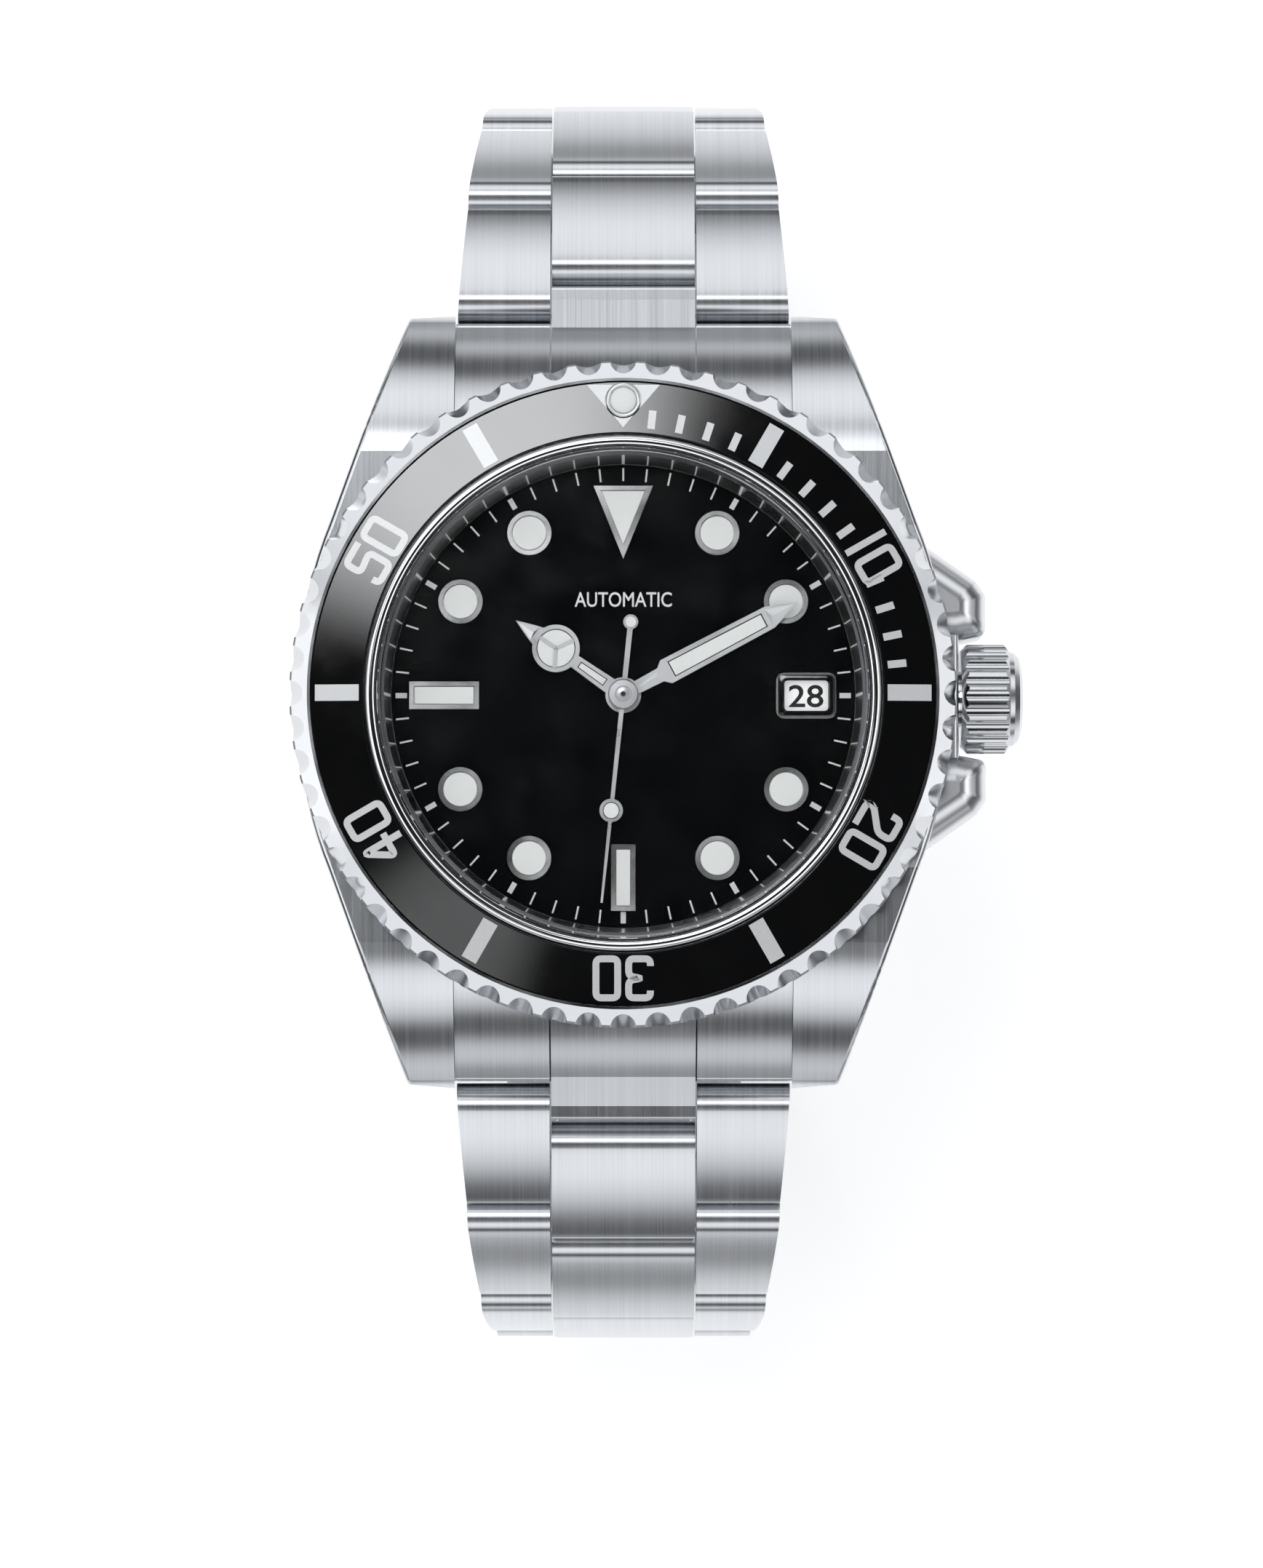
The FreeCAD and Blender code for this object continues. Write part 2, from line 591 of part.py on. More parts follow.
def toward_balance(points):
    """Points given as (along, across) from the pallet axis, along being toward the balance."""
    angle = math.atan2(BALANCE_AXIS[1] - ESCAPE_AXIS[1], BALANCE_AXIS[0] - ESCAPE_AXIS[0])
    c, s = math.cos(angle), math.sin(angle)
    return [(PALLET_AXIS[0] + a * c - b * s, PALLET_AXIS[1] + a * s + b * c) for a, b in points]


def pallet_fork():
    """Lever with two arms for the pallet stones and a notch at its end."""
    low, high = 3.98, 4.2
    arms = prism_z(toward_balance([(0.3, -0.3), (0.3, 0.3), (-0.2, 1.55), (-0.45, 1.35), (-0.15, 0.3),
                                   (-0.15, -0.3), (-0.45, -1.35), (-0.2, -1.55)]), low, high)
    lever = prism_z(toward_balance([(0, -0.14), (1.75, -0.1), (2.1, -0.28), (2.15, -0.12), (1.9, 0),
                                    (2.15, 0.12), (2.1, 0.28), (1.75, 0.1), (0, 0.14)]), low, high)
    return fused(arms, lever, staff(PALLET_AXIS, (0.2, low, 4.85), (PIVOT, 4.8, 5.6)))


def balance_wheel():
    """Balance with its staff, and a roller with the impulse pin turned toward the pallets."""
    rim = spoked(cylinder(3.9, 3.45, 3.85, BALANCE_AXIS), 3.45, 0.7, 3, 3.45, 3.85, BALANCE_AXIS, 0.5)
    roller = cylinder(0.75, 4.3, 4.5, BALANCE_AXIS)
    reach = math.hypot(BALANCE_AXIS[0] - PALLET_AXIS[0], BALANCE_AXIS[1] - PALLET_AXIS[1])
    pin_axis = toward_balance([(reach - 0.55, 0)])[0]
    pin = cylinder(0.1, 4.0, 4.3, pin_axis)
    return fused(rim, roller, pin, staff(BALANCE_AXIS, (0.2, 3.0, 4.8), (PIVOT, 2.5, 5.6)))


save("mainspring_barrel", mainspring_barrel(), spiral(9, 0.75, 4.1, 3.75, 4.55, 0.1, BARREL_AXIS))
save("barrel_arbor", staff(BARREL_AXIS, (0.5, 2.5, 5.8)))
save("centre_wheel", centre_wheel())
save("third_wheel", third_wheel())
save("fourth_wheel", fourth_wheel())
save("escape_wheel", escape_wheel())
save("pallet_fork", pallet_fork())
save("balance_wheel", balance_wheel())

# ---- movement: motion work and calendar ----
# cannon pinion 12 to minute wheel 36, minute pinion 10 to hour wheel 40
MOTION_DISTANCE = 2.4
MOTION_ANGLE = 30
MINUTE_WHEEL_AXIS = polar(MOTION_DISTANCE, MOTION_ANGLE)


def cannon_pinion():
    radius, _, turn, _ = meshed_pair(12, 36, MOTION_DISTANCE, MOTION_ANGLE)
    leaves = gear(12, radius, 7.35, 7.6, 0, (0, 0), turn)
    return fused(leaves, cylinder(CANNON_RADIUS, 7.35, 9.75)).cut(cylinder(CENTRE_ARBOR_RADIUS, 7, 11))


def minute_wheel():
    _, radius, _, turn = meshed_pair(12, 36, MOTION_DISTANCE, MOTION_ANGLE)
    pinion_radius, _, pinion_turn, _ = meshed_pair(10, 40, MOTION_DISTANCE, MOTION_ANGLE + 180)
    wheel = gear(36, radius, 7.4, 7.56, 0, MINUTE_WHEEL_AXIS, turn)
    pinion = gear(10, pinion_radius, 7.56, 7.82, 0, MINUTE_WHEEL_AXIS, pinion_turn)
    return fused(wheel, pinion).cut(cylinder(0.25, 7, 9, MINUTE_WHEEL_AXIS))


def hour_wheel():
    _, radius, _, turn = meshed_pair(10, 40, MOTION_DISTANCE, MOTION_ANGLE + 180)
    body = fused(gear(40, radius, 7.65, 7.8, 0, (0, 0), turn), cylinder(HOUR_PIPE_RADIUS, 7.65, 9.32))
    return body.cut(cylinder(HOUR_PIPE_BORE, 7, 10))


def date_ring():
    """Calendar ring with 31 inner teeth."""
    ring = cylinder(12.8, 7.85, 8.2)
    points = []
    for i in range(31):
        for radius, lead in ((9.75, 0), (9.75, 7.6), (9.1, 9.2), (9.1, 10.4)):
            points.append(polar(radius, 360 / 31 * i + lead))
    return ring.cut(prism_z(points, 7, 9))


save("cannon_pinion", cannon_pinion())
save("minute_wheel", minute_wheel())
save("hour_wheel", hour_wheel())
save("date_ring", date_ring())

# ---- movement: plates, bridges, winding rotor ----
JEWEL_RADIUS = 0.45
FOOT_RADIUS = 1.2
BALANCE_FEET = [polar(11.28, 345.1), polar(11.3, 279)]
BRIDGE_SCREWS = [polar(11.2, a) for a in (58, 142, 187, 248)]
TRAIN_PIVOTS = [(0, 0), THIRD_AXIS, ESCAPE_AXIS]


def mainplate():
    """Round plate. Its pockets take the centre wheel, the clutch and the pivots."""
    plate = cylinder(12.9, PLATE_LOW, PLATE_HIGH)
    pockets = [
        cylinder(4.3, 4, 5.5),
        cylinder(0.85, 4, 5.55, THIRD_AXIS),
        cylinder(CENTRE_ARBOR_RADIUS + RUNNING, 4, 8),
        cylinder(0.5, 4, 5.8, BARREL_AXIS),
        rod_x(0.5, 8.0, 14, 0, CROWN_AXIS_Z),
        block((8.7, -1.25, 4), (12.5, 1.25, 6.85)),
    ]
    for axis in (THIRD_AXIS, ESCAPE_AXIS, BALANCE_AXIS, PALLET_AXIS):
        pockets.append(cylinder(PIVOT + RUNNING, 4, 6.2, axis))
    for axis in BRIDGE_SCREWS + BALANCE_FEET:
        pockets.append(cylinder(0.4, 4, 6.2, axis))
    plate = plate.cut(Part.makeCompound(pockets))
    return fused(plate, cylinder(0.2, PLATE_HIGH, 7.82, MINUTE_WHEEL_AXIS))


def beyond_feet(offset):
    """Everything past the line through the balance bridge's feet, moved by offset to the middle."""
    (x1, y1), (x2, y2) = BALANCE_FEET
    length = math.hypot(x2 - x1, y2 - y1)
    along = ((x2 - x1) / length, (y2 - y1) / length)
    inward = (along[1], -along[0])
    if inward[0] * x1 + inward[1] * y1 > 0:
        inward = (-inward[0], -inward[1])
    near = [(x1 + inward[0] * offset - along[0] * 20, y1 + inward[1] * offset - along[1] * 20),
            (x2 + inward[0] * offset + along[0] * 20, y2 + inward[1] * offset + along[1] * 20)]
    far = [(x - inward[0] * 30, y - inward[1] * 30) for x, y in reversed(near)]
    return prism_z(near + far, 0, 12)


def sunk_screw_hole(axis, low):
    return cylinder(0.72, low - 1, low + 0.3, axis).fuse(cylinder(0.4, low, 6, axis))


def train_bridge():
    plate = cylinder(12.6, BRIDGE_LOW, BRIDGE_HIGH)
    for axis in TRAIN_PIVOTS:
        plate = plate.cut(cylinder(JEWEL_RADIUS, 2, 3, axis))
    plate = plate.cut(cylinder(0.5, 2, 3, BARREL_AXIS))
    pillars = [cylinder(1.15, BRIDGE_LOW + 0.2, PLATE_LOW, axis) for axis in BRIDGE_SCREWS]
    plate = plate.cut(beyond_feet(1.95)).cut(cylinder(4.3, 0, 12, BALANCE_AXIS))
    body = fused(max(plate.Solids, key=lambda s: s.Volume), *pillars)
    for axis in BRIDGE_SCREWS:
        body = body.cut(cylinder(0.72, 2, BRIDGE_LOW + 0.3, axis)).cut(cylinder(0.4, 2, 6, axis))
    return body


def balance_bridge():
    bar = beyond_feet(1.8).cut(beyond_feet(-1.15)).common(cylinder(12.5, BRIDGE_LOW, BRIDGE_HIGH))
    feet = [cylinder(FOOT_RADIUS, BRIDGE_HIGH - 0.01, PLATE_LOW, foot) for foot in BALANCE_FEET]
    body = fused(bar, *feet)
    stud = cylinder(0.22, BRIDGE_HIGH - 0.01, 3.3, (BALANCE_AXIS[0] - 2.72, BALANCE_AXIS[1]))
    for foot in BALANCE_FEET:
        body = body.cut(sunk_screw_hole(foot, BRIDGE_LOW))
    arm = block((BALANCE_AXIS[0] - 3.1, BALANCE_AXIS[1] - 0.4, BRIDGE_LOW),
                (BALANCE_AXIS[0], BALANCE_AXIS[1] + 0.4, BRIDGE_HIGH))
    return fused(body, arm, stud).cut(cylinder(JEWEL_RADIUS, 2, 3, BALANCE_AXIS))


def bridge_screws():
    screws = []
    for axis in BRIDGE_SCREWS + BALANCE_FEET:
        head = cylinder(0.7, BRIDGE_LOW, BRIDGE_LOW + 0.3, axis)
        head = fused(head, cylinder(0.38, BRIDGE_LOW, 6.1, axis))
        slot = block((axis[0] - 1, axis[1] - 0.07, 2.3), (axis[0] + 1, axis[1] + 0.07, BRIDGE_LOW + 0.12))
        screws.append(head.cut(slot))
    return screws


def jewels():
    ring_axes = TRAIN_PIVOTS + [BALANCE_AXIS]
    return [tube(JEWEL_RADIUS, PIVOT + RUNNING, 2.5, 2.9, axis) for axis in ring_axes]


def rotor():
    """Half-round winding weight with a heavy rim, on an outer bearing race."""
    half = block((-20, -20, 0), (20, 0.0, 9))
    web = cylinder(14.0, 1.75, 2.1).common(half)
    windows = tube(11.8, 4.2, 1, 3).common(half)
    ribs = fused(*[rotated(block((0, -0.6, 0), (14, 0.6, 5)), a) for a in (0, 180, 225, 270, 315)])
    web = web.cut(windows.cut(ribs))
    rim = tube(14.0, 12.85, 1.75, 3.8).common(half)
    hub = cylinder(2.6, 1.75, 2.1)
    return fused(web, rim, hub, cylinder(1.95, 1.75, 2.3)).cut(cylinder(1.45, 1, 3))


def rotor_bearing():
    """Inner race on the bridge, with its balls."""
    race = cylinder(0.9, 1.75, BRIDGE_LOW)
    race = race.cut(Part.makeTorus(1.17, 0.25, Vector(0, 0, 2.05), Z_AXIS, 0, 360, 360))
    ball = Part.makeSphere(0.22, Vector(1.17, 0, 2.05))
    return [race] + around(ball, 7)


def movement_holder():
    ring = tube(14.85, 12.95, 5.0, DIAL_BOTTOM)
    return ring.cut(rod_x(0.8, 12, 16, 0, CROWN_AXIS_Z))


save("mainplate", mainplate())
save("train_bridge", train_bridge())
save("balance_bridge", balance_bridge())
save("hairspring", spiral(8, 0.5, 2.4, 3.08, 3.22, 0.05, BALANCE_AXIS))
save("bridge_screws", *bridge_screws())
save("jewels", *jewels())
save("rotor", rotor())
save("rotor_bearing", *rotor_bearing())
save("movement_holder", movement_holder())

# ---- bracelet ----
HALF = LINK_HALF_THICKNESS
OUTER_END = LINK_PITCH - HALF - FACE_GAP
CENTRE_START = 1.1
CENTRE_END = LINK_PITCH + 0.85
CENTRE_BOTTOM_ROUNDING = 1.1
EDGE = 0.2
FIXED_PIN_AT = 4.5
OUTER_INNER_FACE = LINK_CENTRE_WIDTH / 2 + FACE_GAP


def side_face(steps):
    """A face in the YZ plane. Each step is a corner (y, z), or an arc's middle and end."""
    def at(point):
        return Vector(0, point[0], point[1])

    edges = []
    here = steps[0]
    for step in steps[1:] + steps[:1]:
        if len(step) == 4:
            edges.append(Part.Arc(at(here), at(step[:2]), at(step[2:])).toShape())
            here = step[2:]
        else:
            edges.append(Part.LineSegment(at(here), at(step)).toShape())
            here = step
    return Part.Face(Part.Wire(edges))


def corner_arc(centre, radius, start, end):
    """The middle and end of an arc about a centre, between two angles."""
    middle = polar(radius, (start + end) / 2)
    last = polar(radius, end)
    return (centre[0] + middle[0], centre[1] + middle[1], centre[0] + last[0], centre[1] + last[1])


def crowned_top(nose_centre, end):
    """A link's gently crowned top: from its round nose over an arc to the corner at its end."""
    lean = math.radians(LINK_CROWN)
    start = (nose_centre - HALF * math.sin(lean), HALF * math.cos(lean))
    corner = (end - EDGE, (HALF - EDGE) * math.cos(lean))
    stop = (corner[0] + EDGE * math.sin(lean), HALF * math.cos(lean))
    half_span = (stop[0] - start[0]) / 2
    rise = half_span * (1 - math.cos(lean)) / math.sin(lean)
    crest = (start[0] + half_span, start[1] + rise)
    return start, (*crest, *stop), corner_arc(corner, EDGE, 90 - LINK_CROWN, 0)


def outer_profile():
    """Link side piece, seen from its side: round at its inner hinge, square at its outer end."""
    start, top, corner = crowned_top(0, OUTER_END)
    return side_face([
        (0, -HALF), (-HALF, 0, *start), top, corner,
        (OUTER_END, EDGE - HALF), corner_arc((OUTER_END - EDGE, EDGE - HALF), EDGE, 0, -90),
    ])


def centre_profile():
    """Link centre piece: a round nose that nests behind the last piece's end."""
    round_at = CENTRE_START + HALF
    low = CENTRE_BOTTOM_ROUNDING
    start, top, corner = crowned_top(round_at, CENTRE_END)
    return side_face([
        (round_at, -HALF), (CENTRE_START, 0, *start), top, corner,
        (CENTRE_END, low - HALF), corner_arc((CENTRE_END - low, low - HALF), low, 0, -90),
    ])


def along_x(face, start, end):
    solid = face.extrude(Vector(end - start, 0, 0))
    solid.translate(Vector(start, 0, 0))
    return solid


def half_width(unit, along):
    """Half the bracelet's width at a distance along one of its seven link units."""
    near, far = LINK_WIDTHS[unit], LINK_WIDTHS[unit + 1]
    return (near + along / LINK_PITCH * (far - near)) / 2


def link_unit(unit):
    """Centre piece, two side pieces, hinge pin and fixed pin, with the hinge at the origin."""
    centre = along_x(centre_profile(), -LINK_CENTRE_WIDTH / 2, LINK_CENTRE_WIDTH / 2)
    centre = centre.cut(rod_x(PIN_RADIUS + RUNNING, -9, 9, LINK_PITCH, 0))
    centre = centre.cut(rod_x(PIN_RADIUS + 0.02, -9, 9, FIXED_PIN_AT, 0))
    wide = along_x(outer_profile(), OUTER_INNER_FACE, half_width(unit, 0) + 1)
    near, far = half_width(unit, -HALF), half_width(unit, LINK_PITCH)
    taper = prism_z([(0, -HALF), (near, -HALF), (far, LINK_PITCH), (0, LINK_PITCH)], -HALF - 1, HALF + 1)
    side = wide.common(taper)
    for along in (0, FIXED_PIN_AT):
        side = side.cut(rod_x(PIN_RADIUS + 0.02, 0, 12, along, 0))
    other = side.mirror(ORIGIN, X_AXIS)
    pins = []
    for along in (0, FIXED_PIN_AT):
        reach = half_width(unit, along) - 0.15
        pins.append(rod_x(PIN_RADIUS, -reach, reach, along, 0))
    return [centre, side, other] + pins


def hinge_points():
    """The hinge line's points from the end link to the clasp, on the 12 o'clock side."""
    y, z = FIRST_HINGE
    points = [(y, z)]
    for tilt in LINK_TILTS:
        y += LINK_PITCH * math.cos(math.radians(tilt))
        z -= LINK_PITCH * math.sin(math.radians(tilt))
        points.append((y, z))
    return points


def placed(shape, tilt, hinge, side):
    """Tilts a link down, moves it to its hinge, and turns it to its side of the watch."""
    copy = shape.copy()
    copy.rotate(ORIGIN, X_AXIS, -tilt)
    copy.translate(Vector(0, hinge[0], hinge[1]))
    return rotated(copy, 0 if side == 12 else 180)


HINGES = hinge_points()
CLASP_HINGE = HINGES[-1]


def end_link(side):
    """Solid end link that fills the space between two lugs, curved to the case."""
    hinge_y, hinge_z = FIRST_HINGE
    top = hinge_z + HALF
    low = hinge_z - HALF
    outer_end = hinge_y - HALF - FACE_GAP
    centre_end = hinge_y + CENTRE_END - LINK_PITCH
    bottom = CENTRE_BOTTOM_ROUNDING
    outer = side_face([
        (14, low + 0.3), (14, 8.6), (20.3, 6.75, outer_end - 0.25, top + 0.35),
        corner_arc((outer_end - 0.25, top + 0.1), 0.25, 90, 0), (outer_end, low + 0.2),
        (outer_end - 0.2, low),
    ])
    centre = side_face([
        (14, low + 0.3), (14, 8.6), (20.3, 6.75, outer_end - 0.3, top + 0.37), (hinge_y, top),
        (centre_end - EDGE, top), corner_arc((centre_end - EDGE, top - EDGE), EDGE, 90, 0),
        (centre_end, low + bottom), corner_arc((centre_end - bottom, low + bottom), bottom, 0, -90),
    ])
    width = LUG_WIDTH / 2 - 0.02
    half_centre = LINK_CENTRE_WIDTH / 2
    body = fused(along_x(outer, -width, width), along_x(centre, -half_centre, half_centre))
    body = body.cut(cylinder(BETWEEN_LUGS_RADIUS + 0.08, -2, 12))
    for s in (1, -1):
        groove = sorted((s * LINK_CENTRE_WIDTH / 2, s * OUTER_INNER_FACE))
        body = body.cut(block((groove[0], 10, hinge_z + 0.9), (groove[1], 30, 12)))
    body = body.cut(rod_x(0.62, -12, 12, *LUG_HOLE))
    body = body.cut(rod_x(PIN_RADIUS + RUNNING, -12, 12, hinge_y, hinge_z))
    return rotated(body, 0 if side == 12 else 180)


def lug_spring_bars():
    bars = []
    reach = LUG_WIDTH / 2
    for side in (0, 180):
        bar = fused(rod_x(0.58, -reach + 0.35, reach - 0.35, *LUG_HOLE),
                    rod_x(0.45, -reach - 1.25, reach + 1.25, *LUG_HOLE))
        bars.append(rotated(bar, side))
    return bars


save("end_link_12", end_link(12))
save("end_link_6", end_link(6))
save("lug_spring_bars", *lug_spring_bars())
for number, tilt in enumerate(LINK_TILTS):
    unit = link_unit(number)
    for side in (12, 6):
        pieces = [placed(piece, tilt, HINGES[number], side) for piece in unit]
        if (side, number) == (12, len(LINK_TILTS) - 1):
            pieces.append(rod_x(PIN_RADIUS, -7.9, 7.9, *CLASP_HINGE))
        save(f"link_{side}_{number + 1}", *pieces)

# ---- folding clasp ----
COVER_HALF_WIDTH = 9.0
COVER_WALL = 0.85
COVER_BOTTOM = CLASP_HINGE[1] - 3.15
COVER_PLATE_TOP = COVER_BOTTOM + 1.4
COVER_END_Y = -18.2
FOLD_HINGE = (-17.5, COVER_PLATE_TOP + 0.7)
BLADE_HINGE = (15.0, FOLD_HINGE[1] + 0.6)
FOLD_RADIUS = 0.65
BLADE_RADIUS = 0.85
OUTER_BLADE_LEVELS = (FOLD_HINGE[1] - 0.3, FOLD_HINGE[1] + 0.5)
INNER_BLADE_LEVELS = (FOLD_HINGE[1] + 0.7, FOLD_HINGE[1] + 1.5)
CATCH_HINGE = (12.9, COVER_BOTTOM + 0.36)
CATCH_HALF = 0.35


def clasp_cover():
    """Outer shell: a plate, two side walls whose +Y ends hold the bracelet's spring bar, two ears."""
    hinge_y, hinge_z = CLASP_HINGE
    plate_end = hinge_y - 1.45
    plate = block((-COVER_HALF_WIDTH, COVER_END_Y, COVER_BOTTOM),
                  (COVER_HALF_WIDTH, plate_end, COVER_PLATE_TOP))
    plate = rounded(plate, 0.6, lambda e: (abs(e.CenterOfMass.z - COVER_BOTTOM) < 0.01
                                           and abs(e.CenterOfMass.x) > 8))
    recess = block((-6.6, CATCH_HINGE[0] - 0.5, COVER_BOTTOM - 1), (6.6, plate_end + 1, COVER_BOTTOM + 0.8))
    plate = plate.cut(recess)
    lugs = []
    for s in (1, -1):
        start, end = sorted((s * 5.4, s * 6.7))
        lugs.append(rod_x(CATCH_HALF, start, end, *CATCH_HINGE))
        lugs.append(block((start, CATCH_HINGE[0] - CATCH_HALF, CATCH_HINGE[1]),
                          (end, CATCH_HINGE[0] + CATCH_HALF, COVER_BOTTOM + 0.9)))
    plate = fused(plate, *lugs).cut(rod_x(0.15, -6.7, 6.7, *CATCH_HINGE))
    wall_face = side_face([
        (COVER_END_Y, COVER_PLATE_TOP), (COVER_END_Y, hinge_z + 0.2), (COVER_END_Y + 0.8, hinge_z + 1.0),
        (hinge_y, hinge_z + HALF), (hinge_y + HALF, hinge_z, hinge_y, hinge_z - HALF),
        (plate_end, COVER_PLATE_TOP),
    ])
    walls = [along_x(wall_face, COVER_HALF_WIDTH - COVER_WALL, COVER_HALF_WIDTH),
             along_x(wall_face, -COVER_HALF_WIDTH, COVER_WALL - COVER_HALF_WIDTH)]
    walls = [wall.cut(rod_x(0.55, -10, 10, *CLASP_HINGE)) for wall in walls]
    ears = []
    for s in (1, -1):
        start, end = sorted((s * 3.7, s * 5.2))
        foot = block((start, FOLD_HINGE[0] - FOLD_RADIUS, COVER_PLATE_TOP),
                     (end, FOLD_HINGE[0] + FOLD_RADIUS, FOLD_HINGE[1]))
        ear = fused(rod_x(FOLD_RADIUS, start, end, *FOLD_HINGE), foot)
        ears.append(ear.cut(rod_x(0.35, -6, 6, *FOLD_HINGE)))
    return [plate] + walls + ears


def outer_blade():
    """Middle leaf, hinged to the cover at one end and to the inner blade at the other."""
    low, high = OUTER_BLADE_LEVELS
    wide_start = FOLD_HINGE[0] + 1.1
    wide_end = BLADE_HINGE[0] - 1.1
    slab = block((-5.0, wide_start, low), (5.0, wide_end, high))
    window = block((-2.6, wide_start + 5, low - 1), (2.6, wide_end - 5, high + 1))
    slab = slab.cut(rounded(window, 2.4, lambda e: e.BoundBox.ZLength > 2))
    near = block((-3.6, FOLD_HINGE[0], low), (3.6, wide_start + 1, high))
    far = block((-1.9, wide_end - 1, low), (1.9, BLADE_HINGE[0], high))
    body = fused(slab, near, far, rod_x(FOLD_RADIUS, -3.6, 3.6, *FOLD_HINGE),
                 rod_x(BLADE_RADIUS, -1.9, 1.9, *BLADE_HINGE))
    body = body.cut(rod_x(0.35 + RUNNING, -4, 4, *FOLD_HINGE))
    return body.cut(rod_x(0.45, -4, 4, *BLADE_HINGE))


def inner_blade():
    """Leaf next to the wrist: a slotted plate, and two arms that hinge on the last 6 o'clock link."""
    low, high = INNER_BLADE_LEVELS
    hinge = (-CLASP_HINGE[0], CLASP_HINGE[1])
    slab_start = hinge[0] + 1.85
    slab_end = BLADE_HINGE[0] - 1.1
    slab = block((-6.2, slab_start, low), (6.2, slab_end, high))
    window = block((-3.4, slab_start + 6, low - 1), (3.4, slab_end - 6, high + 1))
    slab = slab.cut(rounded(window, 3.2, lambda e: e.BoundBox.ZLength > 2))
    knuckles = []
    arms = []
    for s in (1, -1):
        start, end = sorted((s * 2.0, s * 6.2))
        knuckles.append(rod_x(BLADE_RADIUS, start, end, *BLADE_HINGE))
        knuckles.append(block((start, slab_end - 1, low), (end, BLADE_HINGE[0], high)))
        start, end = sorted((s * OUTER_INNER_FACE, s * 6.2))
        arm = fused(rod_x(1.2, start, end, *hinge), block((start, hinge[0], low), (end, slab_start, high)))
        arms.append(arm.cut(rod_x(PIN_RADIUS, -7, 7, *hinge)))
    slab = fused(slab, *knuckles)
    return [slab.cut(rod_x(0.45 + RUNNING, -7, 7, *BLADE_HINGE))] + arms


def safety_catch():
    """Flap that lies flush in the cover's outer face and hooks over its end."""
    y, z = CATCH_HINGE
    end = CLASP_HINGE[0] - 1.45
    flap = side_face([(y, z - CATCH_HALF), (y - CATCH_HALF, z, y, z + CATCH_HALF),
                      (end - 0.3, z + CATCH_HALF), (end, z + CATCH_HALF - 0.3), (end, z - CATCH_HALF)])
    body = along_x(flap, -6.4, 6.4)
    for s in (1, -1):
        start, stop = sorted((s * 5.3, s * 7))
        body = body.cut(block((start, y - 1, z - 1), (stop, y + 0.45, z + 1)))
    return body.cut(rod_x(0.15 + RUNNING, -7, 7, y, z))


fold_pin = rod_x(0.35, -5.2, 5.2, *FOLD_HINGE)
catch_pin = rod_x(0.15, -6.7, 6.7, *CATCH_HINGE)
save("clasp_cover", *clasp_cover(), fold_pin, catch_pin)
save("clasp_outer_blade", outer_blade(), rod_x(0.45, -6.2, 6.2, *BLADE_HINGE))
save("clasp_inner_blade", *inner_blade(), rod_x(PIN_RADIUS, -6.2, 6.2, -CLASP_HINGE[0], CLASP_HINGE[1]))
save("safety_catch", safety_catch())
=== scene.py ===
"""Looks of an automatic dive wristwatch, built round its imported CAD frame.

Sizes are written in millimetres and turned into metres with MM. The frame is the CAD one: the
origin is the centre of the case back, +Z points out of the dial and +Y to 12 o'clock.
"""
import math

import bmesh
import bpy
from mathutils import Matrix, Vector


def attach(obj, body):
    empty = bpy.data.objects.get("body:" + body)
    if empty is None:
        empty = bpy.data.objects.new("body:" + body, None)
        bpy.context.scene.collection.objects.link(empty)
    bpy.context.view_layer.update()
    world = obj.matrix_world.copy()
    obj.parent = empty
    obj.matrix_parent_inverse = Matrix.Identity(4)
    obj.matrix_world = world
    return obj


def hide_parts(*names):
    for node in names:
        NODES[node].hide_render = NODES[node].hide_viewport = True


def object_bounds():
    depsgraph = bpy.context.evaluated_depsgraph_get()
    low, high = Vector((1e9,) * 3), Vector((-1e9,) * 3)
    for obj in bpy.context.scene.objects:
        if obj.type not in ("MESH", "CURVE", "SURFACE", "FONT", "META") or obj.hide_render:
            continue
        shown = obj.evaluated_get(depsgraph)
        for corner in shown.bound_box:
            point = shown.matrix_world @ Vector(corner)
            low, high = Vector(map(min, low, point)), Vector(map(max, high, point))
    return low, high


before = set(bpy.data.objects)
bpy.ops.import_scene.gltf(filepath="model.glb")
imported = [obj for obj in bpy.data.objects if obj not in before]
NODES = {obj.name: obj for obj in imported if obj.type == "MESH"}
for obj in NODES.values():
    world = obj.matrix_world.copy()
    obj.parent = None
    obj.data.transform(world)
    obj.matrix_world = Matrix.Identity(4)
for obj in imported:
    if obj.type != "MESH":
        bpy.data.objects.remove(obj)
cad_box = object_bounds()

MM = 0.001


# ---- node materials ----
def add_node(tree, kind, inputs=(), **settings):
    """Adds a node. An input is a value, or another node's socket to link."""
    made = tree.nodes.new(kind)
    for key, value in settings.items():
        setattr(made, key, value)
    for key, value in dict(inputs).items():
        if isinstance(value, bpy.types.NodeSocket):
            tree.links.new(value, made.inputs[key])
        else:
            made.inputs[key].default_value = value
    return made


